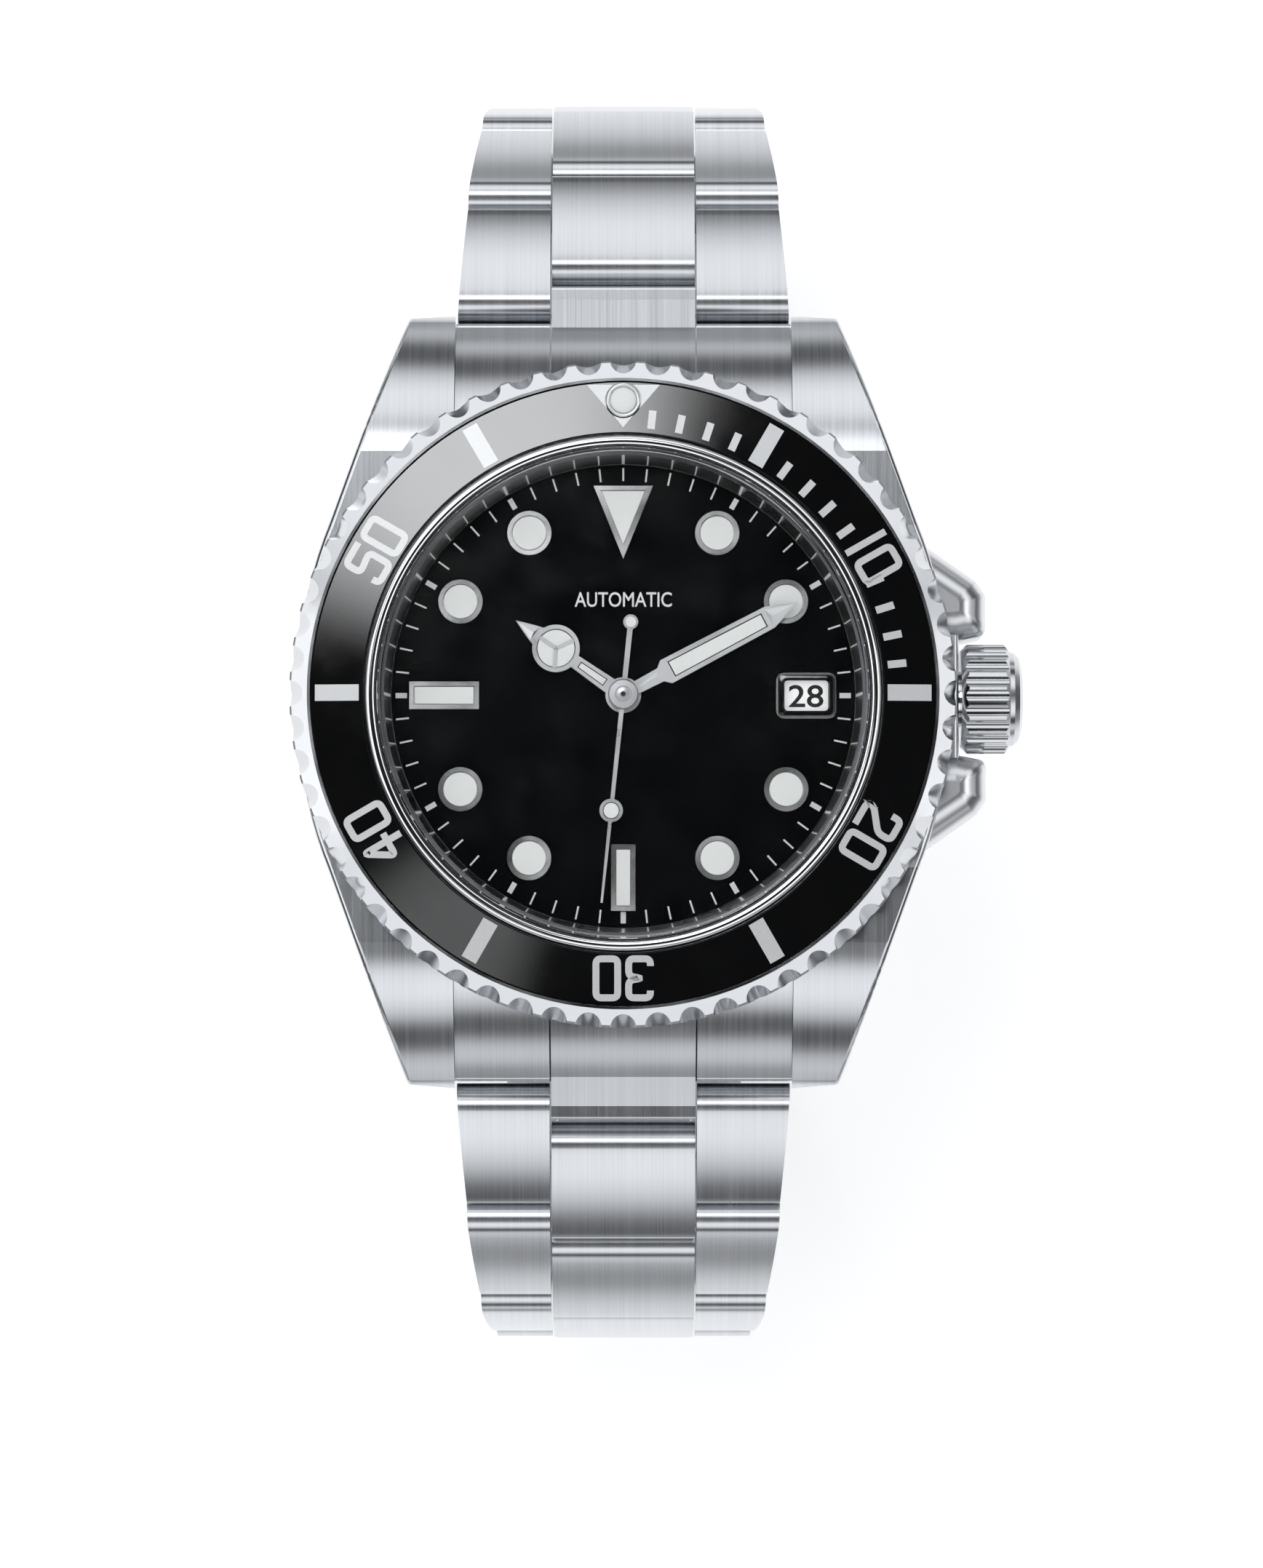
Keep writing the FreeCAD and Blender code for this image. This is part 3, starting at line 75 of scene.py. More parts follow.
class Finish:
    """A material whose colour, roughness and relief come from procedural nodes."""

    def __init__(self, name, colour, roughness, metallic=0.0, **fixed):
        self.material = bpy.data.materials.new(name)
        self.material.use_nodes = True
        self.tree = self.material.node_tree
        self.shader = self.tree.nodes["Principled BSDF"]
        self.place = self.node("ShaderNodeTexCoord")
        self.colour = colour
        self.roughness = roughness
        self.fix("Base Color", (*colour, 1))
        self.fix("Roughness", roughness)
        self.fix("Metallic", metallic)
        for key, value in fixed.items():
            self.fix(key.replace("_", " "), value)

    def fix(self, key, value):
        self.shader.inputs[key].default_value = value

    def node(self, kind, inputs=(), **settings):
        return add_node(self.tree, kind, inputs, **settings)

    def link(self, key, socket):
        self.tree.links.new(socket, self.shader.inputs[key])

    def noise(self, per_mm, detail=2.0, offset=0.0):
        """Noise with the given number of cells to a millimetre along X, Y and Z."""
        scale = [value / MM for value in per_mm]
        spot = self.node("ShaderNodeMapping", {"Vector": self.place.outputs["Object"], "Scale": scale,
                                               "Location": (offset, offset, offset)})
        return self.node("ShaderNodeTexNoise", {"Vector": spot.outputs[0], "Scale": 1.0,
                                                "Detail": detail}).outputs[0]

    def spread(self, socket, low, high, start=0.3, stop=0.7):
        """Maps a value from start..stop to low..high."""
        return self.node("ShaderNodeMapRange", {"Value": socket, "From Min": start, "From Max": stop,
                                                "To Min": low, "To Max": high}).outputs[0]

    def maths(self, operation, *values):
        return self.node("ShaderNodeMath", dict(enumerate(values)), operation=operation).outputs[0]

    def mix(self, share, first, second):
        """A value between two, by a share."""
        return self.node("ShaderNodeMix", {0: share, 2: first, 3: second}, data_type="FLOAT").outputs[0]

    def blend(self, share, first, second):
        """A colour between two, by a share."""
        colours = [value if isinstance(value, bpy.types.NodeSocket) else (*value, 1)
                   for value in (first, second)]
        return self.node("ShaderNodeMix", {0: share, 6: colours[0], 7: colours[1]},
                         data_type="RGBA").outputs[2]

    def tint(self, socket, depth):
        """Base colour that darkens and lightens with a noise."""
        low = [c * (1 - depth) for c in self.colour]
        high = [min(1, c * (1 + depth)) for c in self.colour]
        self.link("Base Color", self.blend(self.spread(socket, 0, 1), low, high))

    def relief(self, socket, height):
        """Makes a noise into bumps of a height in millimetres."""
        made = self.node("ShaderNodeBump", {"Height": socket, "Distance": height * MM, "Strength": 1.0})
        self.link("Normal", made.outputs[0])

    def grain_across(self, side):
        """Turns the highlight's long side across the grain: along X, or along Y on a side face."""
        way = self.node("ShaderNodeCombineXYZ", {0: self.maths("SUBTRACT", 1.0, side), 1: side})
        turn = self.node("ShaderNodeVectorTransform", {"Vector": way.outputs[0]}, vector_type="VECTOR",
                         convert_from="OBJECT", convert_to="WORLD")
        self.link("Tangent", turn.outputs[0])


STEEL = (0.60, 0.615, 0.64)
MIRROR_STEEL = (0.68, 0.69, 0.71)
MIRROR_ROUGHNESS = 0.06
BRUSHED_ROUGHNESS = 0.24
GUARD_START = 17.0 * MM
GUARD_REACH = 10.6 * MM
BORE_RADIUS = 16.6 * MM


def polished(name, colour=(0.74, 0.75, 0.765), roughness=MIRROR_ROUGHNESS):
    """Bright metal with faint hairlines and smears."""
    f = Finish(name, colour, roughness, metallic=1.0)
    smear = f.noise((0.25, 0.25, 0.25), 4)
    f.tint(smear, 0.03)
    f.link("Roughness", f.spread(smear, roughness * 0.7, roughness * 1.6))
    f.relief(f.noise((3, 3, 3), 3), 0.0003)
    return f.material


def brushed(name, flank=0.7, guards=False):
    """Steel brushed along Y and Z, with polished faces toward +X and -X.

    flank is how squarely a face has to look sideways to be polished. guards also polishes
    everything within the bezel, and gives the crown guards a satin shine.
    """
    f = Finish(name, STEEL, BRUSHED_ROUGHNESS, metallic=1.0, Anisotropic=0.55)
    fine = f.noise((9.0, 0.06, 0.06), 3)
    band = f.noise((1.4, 0.03, 0.03), 2, 7.0)
    cloud = f.noise((0.12, 0.12, 0.12), 2, 3.0)
    grain = f.maths("ADD", f.maths("MULTIPLY", fine, 0.65), f.maths("MULTIPLY", band, 0.35))
    facing = f.node("ShaderNodeSeparateXYZ", {0: f.place.outputs["Normal"]})
    side = f.maths("GREATER_THAN", f.maths("ABSOLUTE", facing.outputs[0]), flank)
    shine = MIRROR_ROUGHNESS
    if guards:
        spot = f.node("ShaderNodeSeparateXYZ", {0: f.place.outputs["Object"]})
        by_crown = f.maths("MULTIPLY", f.maths("GREATER_THAN", spot.outputs[0], GUARD_START),
                           f.maths("LESS_THAN", f.maths("ABSOLUTE", spot.outputs[1]), GUARD_REACH))
        out = f.maths("ADD", f.maths("POWER", spot.outputs[0], 2.0), f.maths("POWER", spot.outputs[1], 2.0))
        inside = f.maths("LESS_THAN", out, BORE_RADIUS ** 2)
        side = f.maths("MAXIMUM", side, f.maths("MAXIMUM", by_crown, inside))
        shine = f.maths("ADD", f.maths("MULTIPLY", by_crown, 0.22), MIRROR_ROUGHNESS)
    low = [c * 0.93 for c in STEEL]
    high = [c * 1.07 for c in STEEL]
    f.link("Base Color", f.blend(side, f.blend(f.spread(grain, 0, 1), low, high), MIRROR_STEEL))
    lined = f.maths("ADD", f.spread(grain, BRUSHED_ROUGHNESS * 0.9, BRUSHED_ROUGHNESS * 1.12),
                    f.spread(cloud, -0.01, 0.015))
    f.link("Roughness", f.mix(side, lined, shine))
    f.relief(f.mix(side, grain, 0.5), 0.002)
    f.grain_across(side)
    return f.material


def gloss(name, colour, roughness, ior, depth=0.15):
    """Lacquer, ceramic or another glossy solid."""
    f = Finish(name, colour, roughness, IOR=ior)
    speck = f.noise((6, 6, 6), 3)
    f.tint(speck, depth)
    f.link("Roughness", f.spread(f.noise((0.4, 0.4, 0.4), 3), roughness * 0.7, roughness * 1.5))
    f.relief(speck, 0.0003)
    return f.material


def matte(name, colour, roughness, grain=14.0, depth=0.05, height=0.004, **fixed):
    """Paint, rubber or plastic with a fine tooth."""
    f = Finish(name, colour, roughness, **fixed)
    tooth = f.noise((grain, grain, grain), 3)
    f.tint(tooth, depth)
    f.link("Roughness", f.spread(tooth, roughness * 0.85, min(1, roughness * 1.15)))
    f.relief(tooth, height)
    return f.material


def turned(name, colour, roughness):
    """Metal with the fine circles of a lathe or a snailing tool."""
    f = Finish(name, colour, roughness, metallic=1.0)
    parts = f.node("ShaderNodeSeparateXYZ", {0: f.place.outputs["Object"]})
    radius = f.maths("SQRT", f.maths("ADD", f.maths("POWER", parts.outputs[0], 2.0),
                                     f.maths("POWER", parts.outputs[1], 2.0)))
    rings = f.node("ShaderNodeTexNoise", {"W": f.maths("MULTIPLY", radius, 9 / MM), "Scale": 1.0,
                                          "Detail": 2.0}, noise_dimensions="1D").outputs[0]
    f.tint(rings, 0.1)
    f.link("Roughness", f.spread(rings, roughness * 0.8, roughness * 1.3))
    f.relief(rings, 0.003)
    return f.material


def clear(name, colour, ior, roughness, cloud):
    """Crystal or jewel, with smears that add up to cloud to its roughness."""
    f = Finish(name, colour, roughness, IOR=ior, Transmission_Weight=1.0)
    smear = f.noise((0.2, 0.2, 0.2), 3)
    f.link("Roughness", f.spread(smear, roughness, roughness + cloud))
    return f.material


BRUSHED = brushed("brushed_steel")
CASE = brushed("case_steel", flank=0.45, guards=True)
POLISHED = polished("polished_steel")
SATIN = polished("satin_steel", (0.60, 0.61, 0.63), 0.13)
BRIGHT = polished("bright_steel", (0.86, 0.865, 0.875), 0.16)
HANDS = polished("hand_steel", (0.62, 0.63, 0.645), 0.33)
CERAMIC = gloss("black_ceramic", (0.002, 0.0022, 0.0026), 0.06, 2.1)
LACQUER = gloss("dial_lacquer", (0.0012, 0.0014, 0.0017), 0.10, 1.45)
REHAUT = polished("dark_reflector", (0.15, 0.155, 0.165), 0.3)
LUME = matte("luminous", (0.90, 0.93, 0.91), 0.45, 20.0, 0.03, 0.003)
PRINT = matte("white_print", (0.86, 0.87, 0.88), 0.4, 30.0, 0.03, 0.001)
SILVER_PRINT = matte("silver_print", (0.72, 0.73, 0.74), 0.32, 26.0, 0.06, 0.002, Metallic=0.35)
# The date ring's white has a painted glow: a weak white emission brightens it as if lit, though it is no
# lamp.
GLOWING_DATE_WHITE = matte("date_white_painted_glow", (0.93, 0.94, 0.94), 0.35, 22.0, 0.02, 0.001, Emission_Color=(1, 1, 1, 1),
                   Emission_Strength=0.3)
# Black for the date numerals' print, and also the painted shade in the hole at the seconds hand's hub.
DATE_PRINT_AND_SHADE_BLACK = matte("date_print_and_shade_black", (0.005, 0.005, 0.005), 0.4, 22.0, 0.2, 0.001)
RUBBER = matte("black_rubber", (0.015, 0.015, 0.016), 0.6, 10.0, 0.2, 0.004)
PLASTIC = matte("holder_plastic", (0.78, 0.78, 0.74), 0.5, 6.0, 0.04, 0.004)
BRASS = turned("gilt_brass", (0.80, 0.60, 0.28), 0.22)
PLATED = turned("plated_plate", (0.66, 0.66, 0.67), 0.25)
BLUED = polished("blued_spring", (0.06, 0.10, 0.35), 0.15)
SAPPHIRE = clear("sapphire", (1.0, 1.0, 1.0), 1.4, 0.0, 0.02)
RUBY = clear("ruby", (0.75, 0.03, 0.12), 1.76, 0.03, 0.05)
BACK = turned("case_back_steel", (0.64, 0.645, 0.655), 0.25)

FINISHES = {
    BRUSHED: ["end_link_12", "end_link_6", "clasp_cover", "clasp_outer_blade", "clasp_inner_blade",
              "safety_catch"],
    CASE: ["case_middle"],
    BACK: ["case_back"],
    SATIN: ["bezel_ring", "crown"],
    POLISHED: ["crown_tube", "lug_spring_bars", "winding_stem", "bridge_screws", "rotor_bearing",
               "bezel_spring", "barrel_arbor", "balance_wheel", "pallet_fork"],
    BRIGHT: ["applied_indices"],
    HANDS: ["seconds_hand"],
    CERAMIC: ["bezel_insert"],
    LACQUER: ["dial"],
    REHAUT: ["rehaut_ring"],
    GLOWING_DATE_WHITE: ["date_ring"],
    RUBBER: ["case_gaskets", "crown_gasket"],
    PLASTIC: ["movement_holder"],
    BRASS: ["mainspring_barrel", "centre_wheel", "third_wheel", "fourth_wheel", "escape_wheel",
            "cannon_pinion", "minute_wheel", "hour_wheel"],
    PLATED: ["mainplate", "train_bridge", "balance_bridge", "rotor"],
    BLUED: ["hairspring"],
    RUBY: ["jewels"],
}


def smooth(mesh, degrees=28):
    """Smooth shading that stays sharp at edges steeper than the angle."""
    for polygon in mesh.polygons:
        polygon.use_smooth = True
    mesh.set_sharp_from_angle(angle=math.radians(degrees))


for material, names in FINISHES.items():
    for name in names:
        mesh = NODES[name].data
        mesh.materials.clear()
        mesh.materials.append(material)
        smooth(mesh)


def round_edges(owner, width, segments):
    """Breaks an object's sharp edges with a small rounding."""
    rounding = owner.modifiers.new("rounding", "BEVEL")
    rounding.width = width * MM
    rounding.segments = segments
    rounding.limit_method = "ANGLE"
    rounding.angle_limit = math.radians(40)
    rounding.harden_normals = True


round_edges(NODES["applied_indices"], 0.1, 2)


# ---- mesh helpers ----
def piece(name, bm, materials, body, bevel=0.0, degrees=28):
    """Turns a bmesh in millimetres into a piece that rides on a CAD body."""
    bmesh.ops.recalc_face_normals(bm, faces=bm.faces)
    bmesh.ops.scale(bm, vec=(MM, MM, MM), verts=bm.verts)
    mesh = bpy.data.meshes.new(name)
    bm.to_mesh(mesh)
    bm.free()
    for material in materials:
        mesh.materials.append(material)
    smooth(mesh, degrees)
    made = bpy.data.objects.new(name, mesh)
    bpy.context.scene.collection.objects.link(made)
    if bevel:
        round_edges(made, bevel, 3)
    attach(made, body)
    return made


def polar(radius, degrees):
    angle = math.radians(degrees)
    return radius * math.cos(angle), radius * math.sin(angle)


def turned_about(points, degrees, centre=(0, 0)):
    """Plan points turned about a centre."""
    c, s = polar(1, degrees)
    return [(centre[0] + x * c - y * s, centre[1] + x * s + y * c) for x, y in points]


def circle(radius, centre=(0, 0), count=64):
    spokes = [polar(radius, 360 * i / count) for i in range(count)]
    return [(centre[0] + x, centre[1] + y) for x, y in spokes]


def rectangle(x0, x1, y0, y1):
    return [(x0, y0), (x1, y0), (x1, y1), (x0, y1)]


def raise_outline(bm, outline, low, high, lift=None):
    """Adds a closed plan outline as a slab between two heights. lift(x, y) is added to both."""
    def ring(level):
        return [bm.verts.new((x, y, level + (lift(x, y) if lift else 0))) for x, y in outline]

    bottom, top = ring(low), ring(high)
    bm.faces.new(top)
    bm.faces.new(list(reversed(bottom)))
    count = len(outline)
    for i in range(count):
        j = (i + 1) % count
        bm.faces.new((bottom[i], bottom[j], top[j], top[i]))


def lathe(bm, section, centre=(0, 0), count=96, closed=True):
    """Turns a section of (radius, z) points about an upright axis."""
    rings = []
    for radius, z in section:
        if radius < 1e-6:
            rings.append([bm.verts.new((*centre, z))] * count)
        else:
            rings.append([bm.verts.new((x, y, z)) for x, y in circle(radius, centre, count)])
    pairs = list(zip(rings, rings[1:] + rings[:1])) if closed else list(zip(rings, rings[1:]))
    for lower, upper in pairs:
        for i in range(count):
            j = (i + 1) % count
            corners = []
            for vert in (lower[i], lower[j], upper[j], upper[i]):
                if vert not in corners:
                    corners.append(vert)
            if len(corners) > 2:
                bm.faces.new(corners)


def rounded_path(points, radius, closed=False, steps=5):
    """A polyline whose corners are replaced by short arcs."""
    path = []
    count = len(points)
    for i, point in enumerate(points):
        here = Vector(point)
        if not closed and i in (0, count - 1):
            path.append(here)
            continue
        before = (Vector(points[i - 1]) - here).normalized()
        after = (Vector(points[(i + 1) % count]) - here).normalized()
        for k in range(steps + 1):
            share = k / steps
            first = here + before * radius * (1 - share) ** 2
            path.append(first + after * radius * share ** 2)
    return path


def ribbon(points, width, radius, closed=False):
    """Left and right points of a stroke of constant width, and how many spans it has."""
    path = rounded_path(points, radius, closed)
    count = len(path)
    sides = []
    for i, here in enumerate(path):
        before = path[i - 1] if (closed or i) else here
        after = path[(i + 1) % count] if (closed or i < count - 1) else here
        first = (here - before).normalized() if (here - before).length else (after - here).normalized()
        second = (after - here).normalized() if (after - here).length else first
        middle = (first + second).normalized()
        across = Vector((-middle.y, middle.x))
        reach = width / 2 / max(0.5, across.dot(Vector((-first.y, first.x))))
        sides.append((here + across * reach, here - across * reach))
    spans = count if closed else count - 1
    return sides, spans


def raise_ribbon(bm, points, width, radius, low, high, place, lift, closed=False):
    """Adds a stroke as one closed slab. place() turns its own points into plan points."""
    sides, spans = ribbon(points, width, radius, closed)
    rings = []
    for left, right in sides:
        ring = []
        for point, level in ((left, high), (right, high), (right, low), (left, low)):
            x, y = place(point)
            ring.append(bm.verts.new((x, y, level + lift(x, y))))
        rings.append(ring)
    count = len(rings)
    for i in range(spans):
        here, there = rings[i], rings[(i + 1) % count]
        for k in range(4):
            m = (k + 1) % 4
            bm.faces.new((here[k], here[m], there[m], there[k]))
    if not closed:
        bm.faces.new(rings[0])
        bm.faces.new(list(reversed(rings[-1])))


# ---- bracelet links ----
PITCH = 7.6
HALF = 1.45
CENTRE_WIDTH = 9.0
SIDE_START = 4.6
OUTER_END = 6.05
CENTRE_START = 1.1
CENTRE_END = 8.45
BOTTOM_ROUNDING = 1.1
CORNER = 0.2
CROWN = 8.0
TILTS = [22, 50, 78, 98, 118, 138, 158]
WIDTHS = [20.6, 19.4, 17.9, 16.4, 16.0, 16.0, 16.0, 16.0]
FIRST_HINGE = (25.3, 2.3)
FIXED_PIN = 4.5
PIN = 0.5
LAST_PIN_REACH = 7.9


def arc(centre, radius, start, end, steps):
    """Points of an arc between two angles, both ends included."""
    points = []
    for k in range(steps + 1):
        y, z = polar(radius, start + (end - start) * k / steps)
        points.append((centre[0] + y, centre[1] + z))
    return points


def crowned(nose, end):
    """The crowned top of a link, from its round nose to the corner at its end."""
    lean = math.radians(CROWN)
    corner = (end - CORNER, (HALF - CORNER) * math.cos(lean))
    start = nose - HALF * math.sin(lean)
    stop = corner[0] + CORNER * math.sin(lean)
    radius = (stop - start) / 2 / math.sin(lean)
    middle = ((start + stop) / 2, (HALF - radius) * math.cos(lean))
    top = arc(middle, radius, 90 + CROWN, 90 - CROWN, 14)
    return top + arc(corner, CORNER, 90 - CROWN, 0, 5)[1:]


def side_section():
    """Section of a link's side piece, as (y, z) points, clockwise from under its nose."""
    points = arc((0, 0), HALF, -90, -(270 - CROWN), 20)[:-1]
    points += crowned(0, OUTER_END)
    return points + arc((OUTER_END - CORNER, CORNER - HALF), CORNER, 0, -90, 4)


def centre_section():
    nose = CENTRE_START + HALF
    low = BOTTOM_ROUNDING
    points = arc((nose, 0), HALF, -90, -(270 - CROWN), 20)[:-1]
    points += crowned(nose, CENTRE_END)
    return points + arc((CENTRE_END - low, low - HALF), low, 0, -90, 8)


def half_width(unit, along):
    """Half the bracelet's width at a distance along one of its links."""
    near, far = WIDTHS[unit], WIDTHS[unit + 1]
    return (near + along / PITCH * (far - near)) / 2


def across(bm, section, left, right):
    """A solid along X between two ends, each given as a function of y."""
    rings = [[bm.verts.new((end(y), y, z)) for y, z in section] for end in (left, right)]
    count = len(section)
    for i in range(count):
        j = (i + 1) % count
        bm.faces.new((rings[0][i], rings[0][j], rings[1][j], rings[1][i]))
    return rings


def pierced_face(bm, ring, holes):
    """Fills a flat ring of vertices, leaving the holes open."""
    edges = []
    for loop in [ring] + holes:
        for i, vert in enumerate(loop):
            pair = (vert, loop[(i + 1) % len(loop)])
            edges.append(bm.edges.get(pair) or bm.edges.new(pair))
    bmesh.ops.triangle_fill(bm, use_beauty=True, use_dissolve=False, edges=edges)


def close_rings(bm, rings):
    """Joins rings of vertices to a closed pin, in the piece's second material."""
    count = len(rings[0])
    for first, second in zip(rings, rings[1:]):
        for i in range(count):
            j = (i + 1) % count
            bm.faces.new((first[i], first[j], second[j], second[i])).material_index = 1
    for cap in (rings[0], rings[-1]):
        bm.faces.new(cap).material_index = 1


def pin_seat(bm, sign, face, along, depth=0.3, count=24):
    """A round hole in a side piece's flank, with the pin's end standing back in it."""
    rim, floor, pin = [], [], []
    for dy, dz in circle(PIN + 0.03, (0, 0), count):
        y = along + dy
        rim.append(bm.verts.new((sign * face(y), y, dz)))
        floor.append(bm.verts.new((sign * (face(along) - depth), y, dz)))
    for i in range(count):
        j = (i + 1) % count
        bm.faces.new((rim[i], rim[j], floor[j], floor[i]))
    bm.faces.new(floor)
    for reach, radius in ((depth + 0.05, PIN - 0.02), (0.14, PIN - 0.02), (0.08, PIN - 0.1)):
        x = sign * (face(along) - reach)
        pin.append([bm.verts.new((x, along + dy, dz)) for dy, dz in circle(radius, (0, 0), count)])
    close_rings(bm, pin)
    return rim


def rod(bm, radius, reach, y, z, count=24):
    """A bar along X, the same to both sides, with chamfered ends."""
    section = [(-reach, radius - 0.1), (0.1 - reach, radius), (reach - 0.1, radius), (reach, radius - 0.1)]
    rings = []
    for x, size in section:
        rings.append([bm.verts.new((x, y + dy, z + dz)) for dy, dz in circle(size, (0, 0), count)])
    close_rings(bm, rings)


def hinge_points():
    y, z = FIRST_HINGE
    points = [(y, z)]
    for tilt in TILTS:
        dy, dz = polar(PITCH, -tilt)
        y, z = y + dy, z + dz
        points.append((y, z))
    return points


HINGES = hinge_points()


def link_mesh(unit, last):
    """Centre piece, two side pieces and the pins that show, with the hinge at the origin."""
    def flank(y):
        return half_width(unit, y)

    bm = bmesh.new()
    rings = across(bm, centre_section(), lambda y: -CENTRE_WIDTH / 2, lambda y: CENTRE_WIDTH / 2)
    bm.faces.new(rings[0])
    bm.faces.new(rings[1])
    for sign in (1, -1):
        rings = across(bm, side_section(), lambda y: sign * SIDE_START, lambda y: sign * flank(y))
        bm.faces.new(rings[0])
        seats = [pin_seat(bm, sign, flank, along) for along in (0, FIXED_PIN)]
        pierced_face(bm, rings[1], seats)
    if last:
        rod(bm, PIN, LAST_PIN_REACH, PITCH, 0)
    return bm


def build_link(side, unit):
    bm = link_mesh(unit, last=(side, unit) == (12, len(TILTS) - 1))
    hinge_y, hinge_z = HINGES[unit]
    turn = Matrix.Rotation(math.radians(-TILTS[unit]), 4, "X")
    spot = Matrix.Translation((0, hinge_y, hinge_z)) @ turn
    if side == 6:
        spot = Matrix.Rotation(math.pi, 4, "Z") @ spot
    bmesh.ops.transform(bm, matrix=spot, verts=bm.verts)
    name = f"link_{side}_{unit + 1}"
    made = piece(f"{name}_steel", bm, [BRUSHED, POLISHED], name, bevel=0.11)
    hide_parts(name)


for number in range(len(TILTS)):
    for side in (12, 6):
        build_link(side, number)

# ---- bezel: markings and pearl ----
INSERT_INNER = 15.95
INSERT_TOP = 12.1
INSERT_SLOPE = 0.35 / 3.25
PEARL_RADIUS = 18.0
MARK_LOW = -0.03
MARK_HIGH = 0.022
STROKE = 0.42
DIGIT_X = 0.665
DIGIT_Y = 1.19
STROKE_END = DIGIT_X + STROKE / 2
DIGITS = {
    "0": ([(-DIGIT_X, -DIGIT_Y), (DIGIT_X, -DIGIT_Y), (DIGIT_X, DIGIT_Y), (-DIGIT_X, DIGIT_Y)], True),
    "1": ([(0.45, -DIGIT_Y - STROKE / 2), (0.45, DIGIT_Y + STROKE / 2)], False),
    "2": ([(-DIGIT_X, 0.55), (-DIGIT_X, DIGIT_Y), (DIGIT_X, DIGIT_Y), (DIGIT_X, 0.3), (-DIGIT_X, -0.75),
           (-DIGIT_X, -DIGIT_Y), (STROKE_END, -DIGIT_Y)], False),
    "3": ([(-DIGIT_X, 0.75), (-DIGIT_X, DIGIT_Y), (DIGIT_X, DIGIT_Y), (DIGIT_X, 0.12), (-0.15, 0.0),
           (DIGIT_X, -0.12), (DIGIT_X, -DIGIT_Y), (-DIGIT_X, -DIGIT_Y), (-DIGIT_X, -0.75)], False),
    "4": ([(0.35, -DIGIT_Y - STROKE / 2), (0.35, DIGIT_Y), (-DIGIT_X, -0.45), (STROKE_END, -0.45)], False),
    "5": ([(STROKE_END, DIGIT_Y), (-DIGIT_X, DIGIT_Y), (-DIGIT_X, 0.15), (DIGIT_X, 0.3),
           (DIGIT_X, -DIGIT_Y), (-DIGIT_X, -DIGIT_Y), (-DIGIT_X, -0.7)], False),
}
NUMERAL_RADIUS = 17.5
NUMERAL_SPREAD = 1.0


def insert_height(x, y):
    """The insert's top, which falls outward."""
    return INSERT_TOP - INSERT_SLOPE * (math.hypot(x, y) - INSERT_INNER)


def at_minute(minute):
    """Angle of a minute, counted from +X."""
    return 90 - 6 * minute


def pearl_triangle():
    """The triangle at 12, with a round seat for the pearl cut into its outer side."""
    seat, top, tip, half = 1.12, 18.97, 16.3, 2.25
    edge = math.degrees(math.asin((top - PEARL_RADIUS) / seat))
    round_seat = arc((0, PEARL_RADIUS), seat, 180 - edge, 360 + edge, 30)
    return [(-half, top)] + round_seat + [(half, top), (0, tip)]


def insert_marks():
    bm = bmesh.new()
    for minute in (5, 15, 25, 35, 45, 55):
        outline = turned_about(rectangle(16.2, 18.9, -0.5, 0.5), at_minute(minute))
        raise_outline(bm, outline, MARK_LOW, MARK_HIGH, insert_height)
    for minute in [m for m in range(1, 15) if m % 5]:
        outline = turned_about(rectangle(16.3, 17.45, -0.23, 0.23), at_minute(minute))
        raise_outline(bm, outline, MARK_LOW, MARK_HIGH, insert_height)
    for minute in (10, 20, 30, 40, 50):
        turn = at_minute(minute) - 90
        for digit, offset in zip(str(minute), (-NUMERAL_SPREAD, NUMERAL_SPREAD)):
            points, closed = DIGITS[digit]

            def place(point):
                return turned_about([(point[0] + offset, point[1] + NUMERAL_RADIUS)], turn)[0]

            raise_ribbon(bm, points, STROKE, 0.34, MARK_LOW, MARK_HIGH, place, insert_height, closed)
    raise_outline(bm, pearl_triangle(), MARK_LOW, MARK_HIGH, insert_height)
    piece("insert_marks", bm, [SILVER_PRINT], "bezel")


insert_marks()


def pearl():
    """A polished cup with a domed luminous bead."""
    bm = bmesh.new()
    section = [(0, 11.3), (1.07, 11.3), (1.07, 12.02), (1.03, 12.11), (0.95, 12.14), (0.87, 12.1),
               (0.82, 12.02), (0.82, 11.75), (0, 11.75)]
    lathe(bm, section, (0, PEARL_RADIUS), 64, closed=False)
    cup = piece("pearl_cup", bm, [BRIGHT], "bezel", degrees=50)
    bm = bmesh.new()
    dome = [(x, 12.0 + z * 0.29 / 0.8) for x, z in (polar(0.8, angle) for angle in range(0, 90, 10))]
    lathe(bm, [(0, 11.76), (0.8, 11.76)] + dome + [(0, 12.29)], (0, PEARL_RADIUS), 64, closed=False)
    piece("pearl_bead", bm, [LUME], "bezel", degrees=50)
    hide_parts("bezel_pearl")


pearl()

# ---- dial printing, fills and date ----
DIAL_TOP = 8.7
INDEX_FLOOR = 8.78
INDEX_FILL = 9.02
INDEX_RIM = 0.27
PAINT_GAP = 0.055
DISC_RADIUS = 1.365
HOUR_MARKER_RADIUS = 11.6


